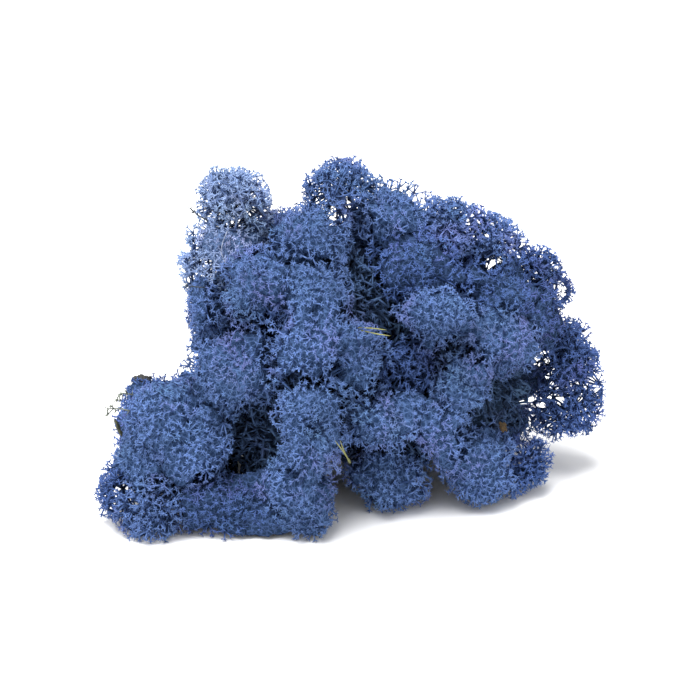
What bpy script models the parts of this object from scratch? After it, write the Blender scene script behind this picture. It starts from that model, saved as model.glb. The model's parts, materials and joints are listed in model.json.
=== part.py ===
"""A clump of dyed reindeer moss, a handful of cushion lichen that rests on a table.

The clump is a crowd of round heads. Each head is a tuft of branched stalks whose star-shaped tips stand out
of a denser middle. Old dark stalks fill the inside, and a few dry pine needles and a flake of bark have
stayed in it. Every head grows in a cell of its own: a flat plane between two neighbours stops both of them,
so heads press against each other face to face and never cross. The ground is one more such plane.

Layout sizes are in millimetres, in a frame with +X to the right, +Y to the back and +Z up.
"""

import math
from typing import NamedTuple

import bmesh
import bpy
import numpy as np
from mathutils import Vector
from mathutils.bvhtree import BVHTree

MM = 0.001

# Stalks stand this far apart on a growth of the usual size, and farther on a larger one. They keep a share of
# that distance from the flat spots.
STAR_SPACING = 8.8
USUAL_SIZE = 10.0
CLEAR_SHARE = 0.72
FEWEST_STALKS = 10
DIRECTION_JITTER = 0.10
SEED = 17

# Heights of a stalk's parts, as shares of the distance from a growth's middle to its outside.
CORE_SHARE = 0.66
NECK_SHARE = 0.73
DIMPLE_SHARE = 0.80
LOWEST_TIP_SHARE = 0.86

# Widths of a stalk's parts, as shares of the way from the middle of its face to the corners or the edges.
NECK_WIDTH = 0.30
SPIKE_WIDTH = 0.42
LONG_PRONG = 1.26
SHORT_PRONG = 0.62

# The outside of a growth swells and sinks by this share, in waves round it and up it.
LOBE_DEPTH = 0.05
LOBE_WAVES_ROUND = 4.0
LOBE_WAVES_UP = 5.2

# Two growths that meet keep this gap, in millimetres. Where one sits on the other, both end in a flat spot of
# this radius, on a stalk that is a little wider. The heart is where the clump grew from.
GAP_BETWEEN_HEADS = 0.3
SPOT_RADIUS = 2.0
STALK_WIDENING = 1.05
HEART = (-2.0, 0.0, 30.0)

# A growth whose middle is lower than this share of its height stands on a flat spot. The spot covers this
# share of the width that the ground cuts.
FOOT_LIFT = 0.95
FOOT_SHARE = 0.75

# Stalks sprout where this share of the sky is open. It is seen along so many rays, from a little below the
# horizon up, past neighbours that are drawn this much smaller, and the ground shuts it off nearer than this.
LEAST_SKY = 0.09
SKY_RAYS = 120
SKY_LOWEST = -0.35
SHADE_SHARE = 0.88
GROUND_VIEW = 60.0

MOST_REGROWTHS = 6

UP = np.array([0.0, 0.0, 1.0])


class Growth(NamedTuple):
    """A head or a mass of old stalks: its middle and its half sizes along X, Y and Z, in millimetres."""

    name: str
    middle: tuple[float, float, float]
    half: tuple[float, float, float]
    finish: str = "moss"

    @property
    def size(self) -> float:
        """The radius of the sphere that stands for the growth where it meets another."""
        return sum(self.half) / 3


class Seat(NamedTuple):
    """A spot on a head where a needle or a flake lies: the way it faces, and its distance from the middle."""

    head: str
    facing: tuple[float, float, float]
    distance: float


# The heads that show from the front, from the left to the right in each group.
TOWER_HEADS = (
    Growth("head_tower_top", (-35, 2, 92), (12.5, 12, 12.5), "moss_pale"),
    Growth("head_tower_waist", (-37, -1, 78), (11, 12, 10), "moss_pale"),
    Growth("head_left_wisp", (-48, 4, 73), (7.5, 8, 9), "moss_pale"),
    Growth("head_saddle", (-12, -8, 84), (11, 12, 11)),
    Growth("head_brow_left", (-28, -19, 71), (12.5, 12, 10.5)),
    Growth("head_brow_right", (-9, -20, 71), (9.5, 11, 10)),
    Growth("head_left_knob", (-45, -8, 61), (7.5, 9, 8)),
    Growth("head_left_shoulder", (-34, -24, 48), (15, 14, 13)),
    Growth("head_breast_left", (-11, -29, 58), (10.5, 11, 10.5)),
    Growth("head_breast_right", (3, -25, 51), (8, 10, 11)),
)
LEFT_HEADS = (
    Growth("head_left_cushion", (-58, -28, 35), (13, 13, 11)),
    Growth("head_left_cushion_front", (-44, -31, 26), (10.5, 11, 13)),
    Growth("head_left_hip", (-63, -26, 20), (9, 10, 8.5)),
    Growth("head_left_foot_outer", (-69, -28, 10), (9.5, 10, 9), "moss_deep"),
    Growth("head_left_foot_front", (-59, -38, 8), (9.5, 9, 9.5)),
    Growth("head_skirt_left", (-40, -34, 8), (12, 10, 9), "moss_deep"),
    Growth("head_skirt_right", (-25, -32, 8), (9, 9, 9), "moss_deep"),
)
COLUMN_HEADS = (
    Growth("head_column_top", (-13, -38, 42), (9.5, 10, 8.8)),
    Growth("head_column_middle", (-11, -40, 28), (9.5, 10, 9.5)),
    Growth("head_column_base", (-16, -35, 14), (10.5, 11, 9)),
    Growth("head_column_foot", (-10, -38, 5.5), (6.5, 7, 7.5)),
)
MIDDLE_HEADS = (
    Growth("head_middle_cushion", (9, -26, 33), (13, 12, 10)),
    Growth("head_middle_foot", (11, -18, 8.5), (13, 12, 10)),
    Growth("head_middle_knob", (27, -25, 29), (6, 8, 8.5)),
    Growth("head_middle_recess", (17, -14, 44), (8.5, 9, 9.5), "moss_deep"),
)
CREST_HEADS = (
    Growth("head_crest", (-3, 8, 93), (14, 13, 12)),
    Growth("head_ridge_1", (14, 3, 87), (11, 12, 10)),
    Growth("head_ridge_2", (29, 5, 84), (9, 11, 11)),
    Growth("head_ridge_3", (44, 12, 79), (9.5, 10, 10)),
    Growth("head_ridge_4", (58, 12, 68), (10.5, 10, 9.5), "moss_deep"),
    Growth("head_upper_wall", (18, -6, 74), (16, 13, 11), "moss_deep"),
    Growth("head_right_wall", (45, 2, 63), (13.5, 14, 11), "moss_deep"),
    Growth("head_right_shoulder", (61, 8, 54), (9.5, 12, 10), "moss_deep"),
)
RIGHT_HEADS = (
    Growth("head_ledge", (25, -18, 62), (13.5, 13, 9)),
    Growth("head_right_cushion", (46, -10, 51), (14, 13, 10.5)),
    Growth("head_right_side", (71, 12, 38), (11, 13, 13.5), "moss_deep"),
    Growth("head_right_overhang", (71, 10, 21), (12, 12, 10.5), "moss_deep"),
    Growth("head_right_knob", (34, -21, 42), (9, 10, 10.5)),
    Growth("head_right_foot", (39, -18, 13), (13, 13, 14.5)),
    Growth("head_right_foot_outer", (55, -8, 8), (11, 12, 9.5), "moss_deep"),
)
BACK_HEADS = (
    Growth("head_back_01", (-62, -4, 23), (14, 16, 16), "moss_deep"),
    Growth("head_back_02", (-47, 16, 16), (18, 17, 18), "moss_deep"),
    Growth("head_back_03", (-17, 29, 18), (20, 17, 20)),
    Growth("head_back_04", (16, 27, 14), (17, 17, 16), "moss_deep"),
    Growth("head_back_05", (44, 23, 19), (19, 18, 21)),
    Growth("head_back_06", (-43, 14, 50), (18, 16, 19)),
    Growth("head_back_07", (-13, 30, 52), (18, 15, 18), "moss_deep"),
    Growth("head_back_08", (14, 32, 41), (16, 15, 17)),
    Growth("head_back_09", (41, 27, 50), (19, 16, 18), "moss_deep"),
    Growth("head_back_10", (-23, 18, 76), (16, 14, 15)),
    Growth("head_back_11", (8, 24, 75), (18, 15, 17)),
    Growth("head_back_12", (32, 20, 71), (15, 14, 14), "moss_deep"),
)
OLD_STALKS = (
    Growth("old_stalks_1", (-46, -10, 17), (17, 19, 19), "stalk"),
    Growth("old_stalks_2", (-21, -10, 25), (17, 19, 25), "stalk"),
    Growth("old_stalks_3", (8, 2, 26), (19, 20, 26), "stalk"),
    Growth("old_stalks_4", (35, 3, 36), (22, 18, 25), "stalk"),
    Growth("old_stalks_5", (-2, 2, 60), (31, 17, 18), "stalk"),
)
GROWTHS = (
    TOWER_HEADS + LEFT_HEADS + COLUMN_HEADS + MIDDLE_HEADS + CREST_HEADS + RIGHT_HEADS + BACK_HEADS + OLD_STALKS
)

# Pine needles and a flake of bark: each lies on the seat that its head holds out to it.
NEEDLE_THICKNESS = 0.8
NEEDLE_STUB_SHARE = 0.45
NEEDLE_TIP_SHARE = 0.25
NEEDLE_BEND = 0.5
NEEDLE_RINGS = 7
NEEDLE_SIDES = 4
BARK_SIZE = (6.5, 3.6, 1.2)
BARK_TOP_SHARE = 0.7
BARK_SIDES = 5


class Needle(NamedTuple):
    """A pine needle: the seat it crosses, the way it points and its lengths behind and ahead of the seat."""

    name: str
    seat: Seat
    along: tuple[float, float, float]
    behind: float
    ahead: float


NEEDLES = (
    Needle("pine_needle_1", Seat("head_breast_right", (0.1, -0.2, 1.0), 9.8), (1.0, -0.15, -0.08), 3.0, 9.0),
    Needle("pine_needle_2", Seat("head_column_middle", (1.0, -0.35, 0.3), 8.6), (0.25, 0.35, -1.0), 4.0, 6.0),
)
BARK_SEAT = Seat("head_left_cushion", (-1.0, -0.25, -0.35), 10.8)

# Colours in linear light, with a roughness each: lichen and bark are dull all over.
FINISHES = {
    "moss": ((0.060, 0.125, 0.360), 0.85),
    "moss_pale": ((0.150, 0.230, 0.450), 0.85),
    "moss_deep": ((0.042, 0.082, 0.235), 0.85),
    "stalk": ((0.010, 0.016, 0.040), 0.95),
    "needle": ((0.300, 0.220, 0.080), 0.60),
    "bark": ((0.045, 0.030, 0.015), 0.90),
}


def unit(vectors: np.ndarray) -> np.ndarray:
    """The same vectors at length 1, along the last axis."""
    return vectors / np.linalg.norm(vectors, axis=-1, keepdims=True)


def spiral(count: int) -> np.ndarray:
    """Ways spread evenly over a sphere, along a sunflower spiral from the top to the bottom."""
    step = np.arange(count) + 0.5
    height = 1 - 2 * step / count
    turn = step * math.pi * (3 - math.sqrt(5))
    ring = np.sqrt(1 - height**2)
    return np.stack([ring * np.cos(turn), ring * np.sin(turn), height], 1)


def open_sky(points: np.ndarray, facings: np.ndarray, own: Growth) -> np.ndarray:
    """The share of the sky that each point of a growth sees in front of it, past the other growths."""
    sky = spiral(SKY_RAYS)
    sky = sky[sky[:, 2] > SKY_LOWEST]
    meets_ground = points[:, 2:] + np.minimum(sky[:, 2], 0) * GROUND_VIEW < 0
    seen = (facings @ sky.T > 0) & ~meets_ground
    for growth in GROWTHS:
        if growth.name == own.name:
            continue
        half = np.array(growth.half) * SHADE_SHARE
        start = (points - np.array(growth.middle)) / half
        ray = sky / half
        towards = -start @ ray.T
        inside = (start**2).sum(1)[:, None] < 1
        meets = towards**2 > (ray**2).sum(1) * ((start**2).sum(1)[:, None] - 1)
        seen &= ~(inside | (meets & (towards > 0)))
    return seen.mean(1)


def carrier_of(growth: Growth) -> Growth | None:
    """The growth that a growth sits on: the nearest of those that are closer to the clump's heart."""

    def from_heart(other: Growth) -> float:
        return math.dist(other.middle, HEART)

    def gap(other: Growth) -> float:
        return math.dist(other.middle, growth.middle) - other.size

    inner = [other for other in GROWTHS if from_heart(other) < from_heart(growth)]
    return min(inner, key=gap) if inner else None


class Cell:
    """The room that a growth has: its own round shape, cut off flat by what it presses against.

    Between two growths the plane stands where the spheres of their mean sizes would meet, half a gap back
    from it. The ground, a needle and a flake cut off a growth in the same way. Where a growth is carried, or
    carries another growth or a needle, it also reaches out to a small flat spot on that plane.
    """

    def __init__(self, growth: Growth, seats: list[Seat]):
        self.growth = growth
        self.middle = np.array(growth.middle)
        self.normals, self.distances = [-UP], [self.middle[2]]
        spots = [(0, self.foot_radius())] if self.foot_radius() > 0 else []
        for other in GROWTHS:
            if other.name == growth.name:
                continue
            way = np.array(other.middle) - self.middle
            span = float(np.linalg.norm(way))
            meet = (span**2 + growth.size**2 - other.size**2) / (2 * span)
            if carrier_of(growth) == other or carrier_of(other) == growth:
                spots.append((len(self.normals), SPOT_RADIUS))
            self.normals.append(way / span)
            self.distances.append(meet - GAP_BETWEEN_HEADS / 2)
        for seat in seats:
            if seat.head == growth.name:
                spots.append((len(self.normals), SPOT_RADIUS))
                self.normals.append(unit(np.array(seat.facing)))
                self.distances.append(seat.distance)
        self.normals, self.distances = np.array(self.normals), np.array(self.distances)
        self.spots = np.vstack([self.corners_of(plane, radius) for plane, radius in spots])
        self.spot_axes = self.normals[[plane for plane, _ in spots]]
        self.spot_radii = np.array([radius for _, radius in spots])

    def foot_radius(self) -> float:
        """The size of the flat spot that a low growth stands on, or 0."""
        half = self.growth.half
        if self.middle[2] > FOOT_LIFT * half[2]:
            return 0.0
        return FOOT_SHARE * (half[0] + half[1]) / 2 * math.sqrt(1 - (self.middle[2] / half[2]) ** 2)

    def corners_of(self, plane: int, radius: float) -> np.ndarray:
        """The ways to the three corners of a flat spot on one of the planes."""
        axis = self.normals[plane]
        across = unit(np.cross(axis, UP if abs(axis[2]) < 0.9 else np.array([1.0, 0.0, 0.0])))
        turns = np.arange(3)[:, None] * 2 * math.pi / 3
        ring = np.cos(turns) * across + np.sin(turns) * np.cross(axis, across)
        return unit(axis * self.distances[plane] + ring * radius)

    def own_reach(self, ways: np.ndarray) -> np.ndarray:
        """How far the growth would reach each way alone: an ellipsoid with low round lobes, and its stalks."""
        plain = 1 / np.sqrt(((ways / np.array(self.growth.half)) ** 2).sum(1))
        turn = self.middle.sum()
        lobes = np.sin(LOBE_WAVES_ROUND * ways[:, 0] + turn) * np.sin(LOBE_WAVES_ROUND * ways[:, 1] - turn)
        lobes += np.sin(LOBE_WAVES_UP * ways[:, 2] + 2 * turn)
        facing = ways @ self.spot_axes.T
        sideways = np.sqrt(np.maximum(1 - facing**2, 1e-9))
        stalks = np.where(facing > 0, STALK_WIDENING * self.spot_radii / sideways, 0).max(1)
        return np.maximum(plain * (1 + LOBE_DEPTH * lobes), stalks)

    def room(self, ways: np.ndarray) -> np.ndarray:
        """How far the planes let the growth reach each way."""
        facing = ways @ self.normals.T
        return np.where(facing > 1e-6, self.distances / np.maximum(facing, 1e-6), np.inf).min(1)

    def reach(self, ways: np.ndarray) -> np.ndarray:
        """How far the growth does reach each way."""
        return np.minimum(self.own_reach(ways), self.room(ways))

    def is_pressed(self, ways: np.ndarray) -> np.ndarray:
        """Whether a plane stops the growth, each way."""
        return self.own_reach(ways) >= self.room(ways)


def ways_out(cell: Cell, draw: np.random.Generator) -> np.ndarray:
    """The ways to a growth's flat spots, then evenly spread ones that keep clear of those."""
    size = cell.growth.size
    spacing = STAR_SPACING * math.sqrt(size / USUAL_SIZE)
    count = max(FEWEST_STALKS, round(4 * math.pi * size**2 / spacing**2))
    spread = spiral(count)
    spread = unit(spread + draw.normal(0, DIRECTION_JITTER, spread.shape))
    clear = math.cos(CLEAR_SHARE * spacing / size)
    return np.vstack([cell.spots, spread[(spread @ cell.spots.T).max(1) < clear]])


def faces_between(ways: np.ndarray) -> np.ndarray:
    """The triangles of the hull round the ways, each turned to face outwards."""
    hull = bmesh.new()
    corners = [hull.verts.new(way) for way in ways]
    hull.verts.index_update()
    bmesh.ops.convex_hull(hull, input=corners)
    bmesh.ops.triangulate(hull, faces=hull.faces)
    faces = np.array([[corner.index for corner in face.verts] for face in hull.faces])
    hull.free()
    a, b, c = (ways[faces[:, k]] for k in range(3))
    inward = np.einsum("ij,ij->i", np.cross(b - a, c - a), a + b + c) < 0
    faces[inward] = faces[inward][:, ::-1]
    return faces


def sides(face: np.ndarray) -> list[tuple[int, int]]:
    """A triangle's three edges, each as its two corners in rising order."""
    return [tuple(sorted((int(face[k]), int(face[(k + 1) % 3])))) for k in range(3)]


class Tuft:
    """The vertices and triangles of one growth, in millimetres from its middle."""

    def __init__(self, cell: Cell, draw: np.random.Generator):
        self.cell = cell
        self.ways = ways_out(cell, draw)
        self.bare = cell.is_pressed(self.ways) & self.is_hidden(self.ways)
        self.bare[: len(cell.spots)] = True
        self.faces = faces_between(self.ways)
        self.heights = draw.uniform(LOWEST_TIP_SHARE, 1.0, self.faces.shape)
        self.long_sides = self.choose_long_sides(draw)
        in_spot = (self.faces < len(cell.spots)).all(1) & (np.ptp(self.faces // 3, axis=1) == 0)
        self.free = ~self.is_hidden(self.ways[self.faces].mean(1)) & ~in_spot

    def choose_long_sides(self, draw: np.random.Generator) -> dict[tuple[int, int], int]:
        """For each edge between two faces, which of them sends a long prong across it."""
        owners: dict[tuple[int, int], list[int]] = {}
        for number, face in enumerate(self.faces):
            for side in sides(face):
                owners.setdefault(side, []).append(number)
        return {side: pair[draw.integers(2)] for side, pair in owners.items()}

    def is_hidden(self, ways: np.ndarray) -> np.ndarray:
        """Whether too little sky shows from the growth's outside, each way, for a stalk to sprout there."""
        ways = unit(ways)
        outside = self.cell.middle + ways * self.cell.reach(ways)[:, None]
        return open_sky(outside, ways, self.cell.growth) < LEAST_SKY

    def add_points(self, ways: np.ndarray, shares: np.ndarray | float) -> list[int]:
        """Puts a point each way at a share of the reach, and gives their numbers."""
        ways = unit(ways)
        first = len(self.points)
        self.points.extend(ways * (self.cell.reach(ways) * shares)[:, None])
        return list(range(first, len(self.points)))

    def add_star(self, number: int, spreads: np.ndarray) -> None:
        """A stalk on one face: a narrow neck that opens into three prongs round a dimple."""
        face = self.faces[number]
        corners = self.ways[face]
        middle = corners.mean(0)
        neck = self.add_points(middle + (corners - middle) * NECK_WIDTH, NECK_SHARE)
        edges = (corners + np.roll(corners, -1, axis=0)) / 2
        heights = np.where(spreads > 1, self.heights[number], LOWEST_TIP_SHARE)
        prongs = self.add_points(middle + (edges - middle) * spreads[:, None], heights)
        (dimple,) = self.add_points(middle[None], DIMPLE_SHARE)
        for near, after in ((0, 1), (1, 2), (2, 0)):
            low, low_after, high, high_after = neck[near], neck[after], prongs[near], prongs[after]
            self.add_triangles(number, (face[near], face[after], low_after), (face[near], low_after, low))
            self.add_triangles(number, (low, low_after, high), (low_after, high_after, high))
            self.add_triangles(number, (high, high_after, dimple))

    def add_spike(self, number: int) -> None:
        """A bare stalk on one face, with three sides and one tip."""
        face = self.faces[number]
        corners = self.ways[face]
        middle = corners.mean(0)
        foot = self.add_points(middle + (corners - middle) * SPIKE_WIDTH, NECK_SHARE)
        (tip,) = self.add_points(middle[None], self.heights[number, :1])
        for near, after in ((0, 1), (1, 2), (2, 0)):
            self.add_triangles(number, (face[near], face[after], foot[after]), (face[near], foot[after], foot[near]))
            self.add_triangles(number, (foot[near], foot[after], tip))

    def add_triangles(self, number: int, *triangles: tuple[int, int, int]) -> None:
        """Adds triangles, and notes which face they grow from."""
        self.triangles.extend(tuple(int(corner) for corner in triangle) for triangle in triangles)
        self.roots.extend([number] * len(triangles))

    def grow(self, short: set[int]) -> None:
        """Raises a star on each free face, or a spike beside a bare side, and leaves the others plain.

        The faces in short send no long prong over their edges.
        """
        shares = np.where(self.bare, 1.0, CORE_SHARE)
        self.points = list(self.ways * (self.cell.reach(self.ways) * shares)[:, None])
        self.triangles: list[tuple[int, int, int]] = []
        self.roots: list[int] = []
        for number, face in enumerate(self.faces):
            if not self.free[number]:
                self.add_triangles(number, tuple(face))
            elif self.cell.growth.finish == "stalk" or self.bare[face].any():
                self.add_spike(number)
            else:
                sends = [self.long_sides[side] == number and number not in short for side in sides(face)]
                self.add_star(number, np.where(sends, LONG_PRONG, SHORT_PRONG))

    def crossed_faces(self) -> set[int]:
        """The faces whose prongs run through each other."""
        tree = BVHTree.FromPolygons([Vector(point) for point in self.points], self.triangles)
        pairs = [(a, b) for a, b in tree.overlap(tree) if not set(self.triangles[a]) & set(self.triangles[b])]
        return {self.roots[triangle] for pair in pairs for triangle in pair}


def dull_material(name: str) -> bpy.types.Material:
    """The matt finish of that name."""
    colour, roughness = FINISHES[name]
    material = bpy.data.materials.new(name)
    material.use_nodes = True
    shader = material.node_tree.nodes["Principled BSDF"]
    shader.inputs["Base Color"].default_value = (*colour, 1.0)
    shader.inputs["Roughness"].default_value = roughness
    shader.inputs["Metallic"].default_value = 0.0
    return material


def solid(name: str, points: np.ndarray, triangles: list, middle: np.ndarray, finish: str) -> bpy.types.Object:
    """An object of the given points, in millimetres round its middle, standing at that middle."""
    mesh = bpy.data.meshes.new(name)
    mesh.from_pydata((np.asarray(points) * MM).tolist(), [], triangles)
    mesh.update()
    thing = bpy.data.objects.new(name, mesh)
    thing.location = Vector(middle) * MM
    bpy.context.scene.collection.objects.link(thing)
    thing.data.materials.append(bpy.data.materials.get(finish) or dull_material(finish))
    return thing


def tuft(growth: Growth, seats: list[Seat], draw: np.random.Generator) -> bpy.types.Object:
    """One head, or one mass of old stalks. Where long prongs would cross, the stars grow again without them."""
    shape = Tuft(Cell(growth, seats), draw)
    short: set[int] = set()
    for _ in range(MOST_REGROWTHS):
        shape.grow(short)
        crossed = shape.crossed_faces() - short
        if not crossed:
            break
        short |= crossed
    return solid(growth.name, np.array(shape.points), shape.triangles, shape.cell.middle, growth.finish)


def seat_point(seat: Seat, lift: float) -> tuple[np.ndarray, np.ndarray]:
    """The point a given height above a seat, in the clump's frame, and the way the seat faces."""
    facing = unit(np.array(seat.facing))
    head = next(growth for growth in GROWTHS if growth.name == seat.head)
    return np.array(head.middle) + facing * (seat.distance + lift), facing


def pine_needle(needle: Needle) -> bpy.types.Object:
    """A four-sided needle, straight over its seat, that tapers and bends away from the head at both ends."""
    over, facing = seat_point(needle.seat, GAP_BETWEEN_HEADS + NEEDLE_THICKNESS / 2)
    along = np.array(needle.along)
    along = unit(along - facing * (along @ facing))
    across = np.cross(facing, along)
    places = np.linspace(-needle.behind, needle.ahead, NEEDLE_RINGS)
    from_stub = np.linspace(NEEDLE_STUB_SHARE, 1.0, NEEDLE_RINGS)
    to_tip = np.linspace(1.0, NEEDLE_TIP_SHARE, NEEDLE_RINGS)
    sizes = NEEDLE_THICKNESS / math.sqrt(2) * np.sqrt(from_stub * to_tip)
    bend = NEEDLE_BEND * (places / needle.ahead) ** 2
    turns = np.arange(NEEDLE_SIDES) * 2 * math.pi / NEEDLE_SIDES + math.pi / 4
    points, triangles = [], []
    for place, size, rise in zip(places, sizes, bend):
        ring = np.outer(np.cos(turns), across) + np.outer(np.sin(turns), facing)
        points.extend(along * place + facing * rise + ring * size)
    for ring in range(NEEDLE_RINGS - 1):
        for side in range(NEEDLE_SIDES):
            near, after = (ring * NEEDLE_SIDES + corner for corner in (side, (side + 1) % NEEDLE_SIDES))
            ahead, ahead_after = near + NEEDLE_SIDES, after + NEEDLE_SIDES
            triangles += [(near, after, ahead), (after, ahead_after, ahead)]
    last = (NEEDLE_RINGS - 1) * NEEDLE_SIDES
    triangles += [(0, 2, 1), (0, 3, 2), (last, last + 1, last + 2), (last, last + 2, last + 3)]
    return solid(needle.name, np.array(points), triangles, over, "needle")


def bark_flake() -> bpy.types.Object:
    """A thin flake of bark, its outer face smaller than the one on the moss."""
    length, width, thickness = BARK_SIZE
    over, facing = seat_point(BARK_SEAT, GAP_BETWEEN_HEADS)
    upright = unit(UP - facing * (UP @ facing))
    across = np.cross(upright, facing)
    turns = np.arange(BARK_SIDES) * 2 * math.pi / BARK_SIDES + math.pi / 2
    rim = np.outer(np.cos(turns) * width / 2, across) + np.outer(np.sin(turns) * length / 2, upright)
    points = np.vstack([rim, rim * BARK_TOP_SHARE + facing * thickness])
    triangles = []
    for k in range(BARK_SIDES):
        after = (k + 1) % BARK_SIDES
        triangles += [(k, after, k + BARK_SIDES), (after, after + BARK_SIDES, k + BARK_SIDES)]
    for k in range(1, BARK_SIDES - 1):
        triangles += [(0, k + 1, k), (BARK_SIDES, k + BARK_SIDES, k + BARK_SIDES + 1)]
    return solid("bark_flake", points, triangles, over, "bark")


def centre_over_origin(things: list[bpy.types.Object]) -> None:
    """Slides the whole clump so that the middle of its footprint box stands over the origin."""
    corners = np.array([thing.matrix_basis @ vertex.co for thing in things for vertex in thing.data.vertices])
    middle = (corners.min(0) + corners.max(0)) / 2
    for thing in things:
        thing.location -= Vector((middle[0], middle[1], corners[:, 2].min()))


def main() -> None:
    """Clears the scene and builds the clump."""
    for old in list(bpy.data.objects):
        bpy.data.objects.remove(old)
    draw = np.random.default_rng(SEED)
    seats = [needle.seat for needle in NEEDLES] + [BARK_SEAT]
    things = [tuft(growth, seats, draw) for growth in GROWTHS]
    things += [pine_needle(needle) for needle in NEEDLES]
    things.append(bark_flake())
    centre_over_origin(things)


main()
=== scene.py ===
"""A clump of cushion reindeer lichen, dyed blue: its heads, old stalks and litter, on a pale table.

Each head is grown from the outside of its own CAD node. Star-shaped branch ends stand on that outside,
close together. Thin stems join them to the knots of their tufts, and stalks join the knots to an inner
tangle, whose pits are painted dark as shade, or, in the thinnest heads, to a web of stalks that is seen
between the branches. Deeper branches are painted darker, partly for real older wood and partly as shade.

Lengths are in millimetres here, and become metres where a mesh is written.
"""

import json
import logging
import math
from dataclasses import dataclass, field
from enum import Enum
from functools import partial
from typing import Any

import bpy
import numpy as np
from mathutils import Matrix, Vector
from numpy.typing import NDArray


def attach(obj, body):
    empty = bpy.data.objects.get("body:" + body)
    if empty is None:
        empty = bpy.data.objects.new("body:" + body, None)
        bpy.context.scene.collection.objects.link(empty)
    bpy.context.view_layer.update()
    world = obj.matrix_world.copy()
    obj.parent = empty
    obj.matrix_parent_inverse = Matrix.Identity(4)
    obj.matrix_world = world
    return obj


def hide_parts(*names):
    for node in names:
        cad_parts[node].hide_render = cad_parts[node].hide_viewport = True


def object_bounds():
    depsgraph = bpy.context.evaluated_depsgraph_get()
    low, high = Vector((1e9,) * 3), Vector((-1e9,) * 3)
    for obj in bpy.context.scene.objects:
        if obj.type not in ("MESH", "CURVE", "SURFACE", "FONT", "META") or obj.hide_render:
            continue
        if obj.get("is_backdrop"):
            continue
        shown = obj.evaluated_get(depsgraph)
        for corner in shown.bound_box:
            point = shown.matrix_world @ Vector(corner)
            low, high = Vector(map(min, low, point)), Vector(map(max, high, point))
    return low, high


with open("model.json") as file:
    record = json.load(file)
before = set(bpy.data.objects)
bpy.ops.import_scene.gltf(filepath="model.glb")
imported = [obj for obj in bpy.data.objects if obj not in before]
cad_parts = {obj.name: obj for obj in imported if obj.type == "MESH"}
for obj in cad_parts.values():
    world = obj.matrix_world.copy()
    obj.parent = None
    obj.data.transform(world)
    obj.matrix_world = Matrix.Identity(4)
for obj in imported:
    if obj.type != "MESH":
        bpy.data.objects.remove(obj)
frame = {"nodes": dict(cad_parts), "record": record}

Floats = NDArray[np.float64]
Ints = NDArray[np.int64]
Pair = tuple[float, float]
Triple = tuple[float, float, float]
Rng = np.random.Generator
Socket = bpy.types.NodeSocket
Finishes = list[bpy.types.Material]

MM = 0.001
SEED = 29
BODY = "root"
# Painted shade, partly: this value takes a lichen piece from pale outer tips to dark old wood deep inside,
# for the real older wood and for painted shade of the depth.
AGE_AND_DEPTH_SHADE = "age"  # the attribute that runs from 0 in the old wood to 1 at a branch's end
GOLDEN_ANGLE = math.pi * (3 - math.sqrt(5))
INSIDE = np.array([0.0, 20.0, 40.0])  # a place well inside the clump

log = logging.getLogger("reindeer moss clump")


def unit(vectors: Floats) -> Floats:
    """The vectors, each made one long."""
    return vectors / np.maximum(np.linalg.norm(vectors, axis=-1, keepdims=True), 1e-9)


def spiral(count: int) -> Floats:
    """Directions spread evenly over a ball.

    The height falls by equal steps from 1 to -1, and each step turns by the golden angle.

    Args:
        count: how many directions.

    Returns:
        The unit vectors, one a row.
    """
    step = np.arange(count)
    height = 1 - (2 * step + 1) / count
    width = np.sqrt(1 - height**2)
    turn = GOLDEN_ANGLE * step
    return np.stack([width * np.cos(turn), width * np.sin(turn), height], axis=1)


def jittered(ways: Floats, amount: float, rng: Rng) -> Floats:
    """Unit vectors, each pushed to one side at random by a share of the usual space between them."""
    spacing = math.sqrt(4 * math.pi / len(ways))
    return unit(ways + rng.normal(0, amount * spacing, ways.shape))


def spaced(points: Floats, spacing: float, rng: Rng) -> Ints:
    """Picks points so that none is closer to another than the spacing, and none more could be added.

    Each point draws a rank. A point is kept where no undecided neighbour has a lower rank, its neighbours
    are then dropped, and this is repeated until every point is kept or dropped.

    Args:
        points: the candidates.
        spacing: the least distance.
        rng: the seeded source of the ranks.

    Returns:
        The kept points' numbers.
    """
    square = (points**2).sum(axis=1)
    distance = square[:, None] + square[None] - 2 * points @ points.T
    close = distance < spacing**2
    np.fill_diagonal(close, False)
    rank = rng.permutation(len(points)).astype(float)
    kept = np.zeros(len(points), bool)
    open_ones = np.ones(len(points), bool)
    while open_ones.any():
        ranks = np.where(open_ones, rank, np.inf)
        lowest = np.where(close, ranks[None], np.inf).min(axis=1)
        winners = open_ones & (rank < lowest)
        kept |= winners
        open_ones &= ~winners & ~close[:, winners].any(axis=1)
    return np.flatnonzero(kept)


def cross_ways(axes: Floats, turns: Floats) -> tuple[Floats, Floats]:
    """Two directions square to each axis and to each other.

    The first is the axis crossed with the world axis that it leans towards least, the second is the axis
    crossed with the first, and both are then turned about the axis.

    Args:
        axes: unit vectors, one a row.
        turns: the turn about each axis, in radians.

    Returns:
        The two sets of unit vectors. The first, the second and the axis are right-handed.
    """
    helper = np.eye(3)[np.abs(axes).argmin(axis=1)]
    side = unit(np.cross(axes, helper))
    lift = np.cross(axes, side)
    cos, sin = np.cos(turns)[:, None], np.sin(turns)[:, None]
    return cos * side + sin * lift, cos * lift - sin * side


class Layer(Enum):
    """Which finish of its piece a triangle takes."""

    BRANCHES = 0
    TANGLE = 1


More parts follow.
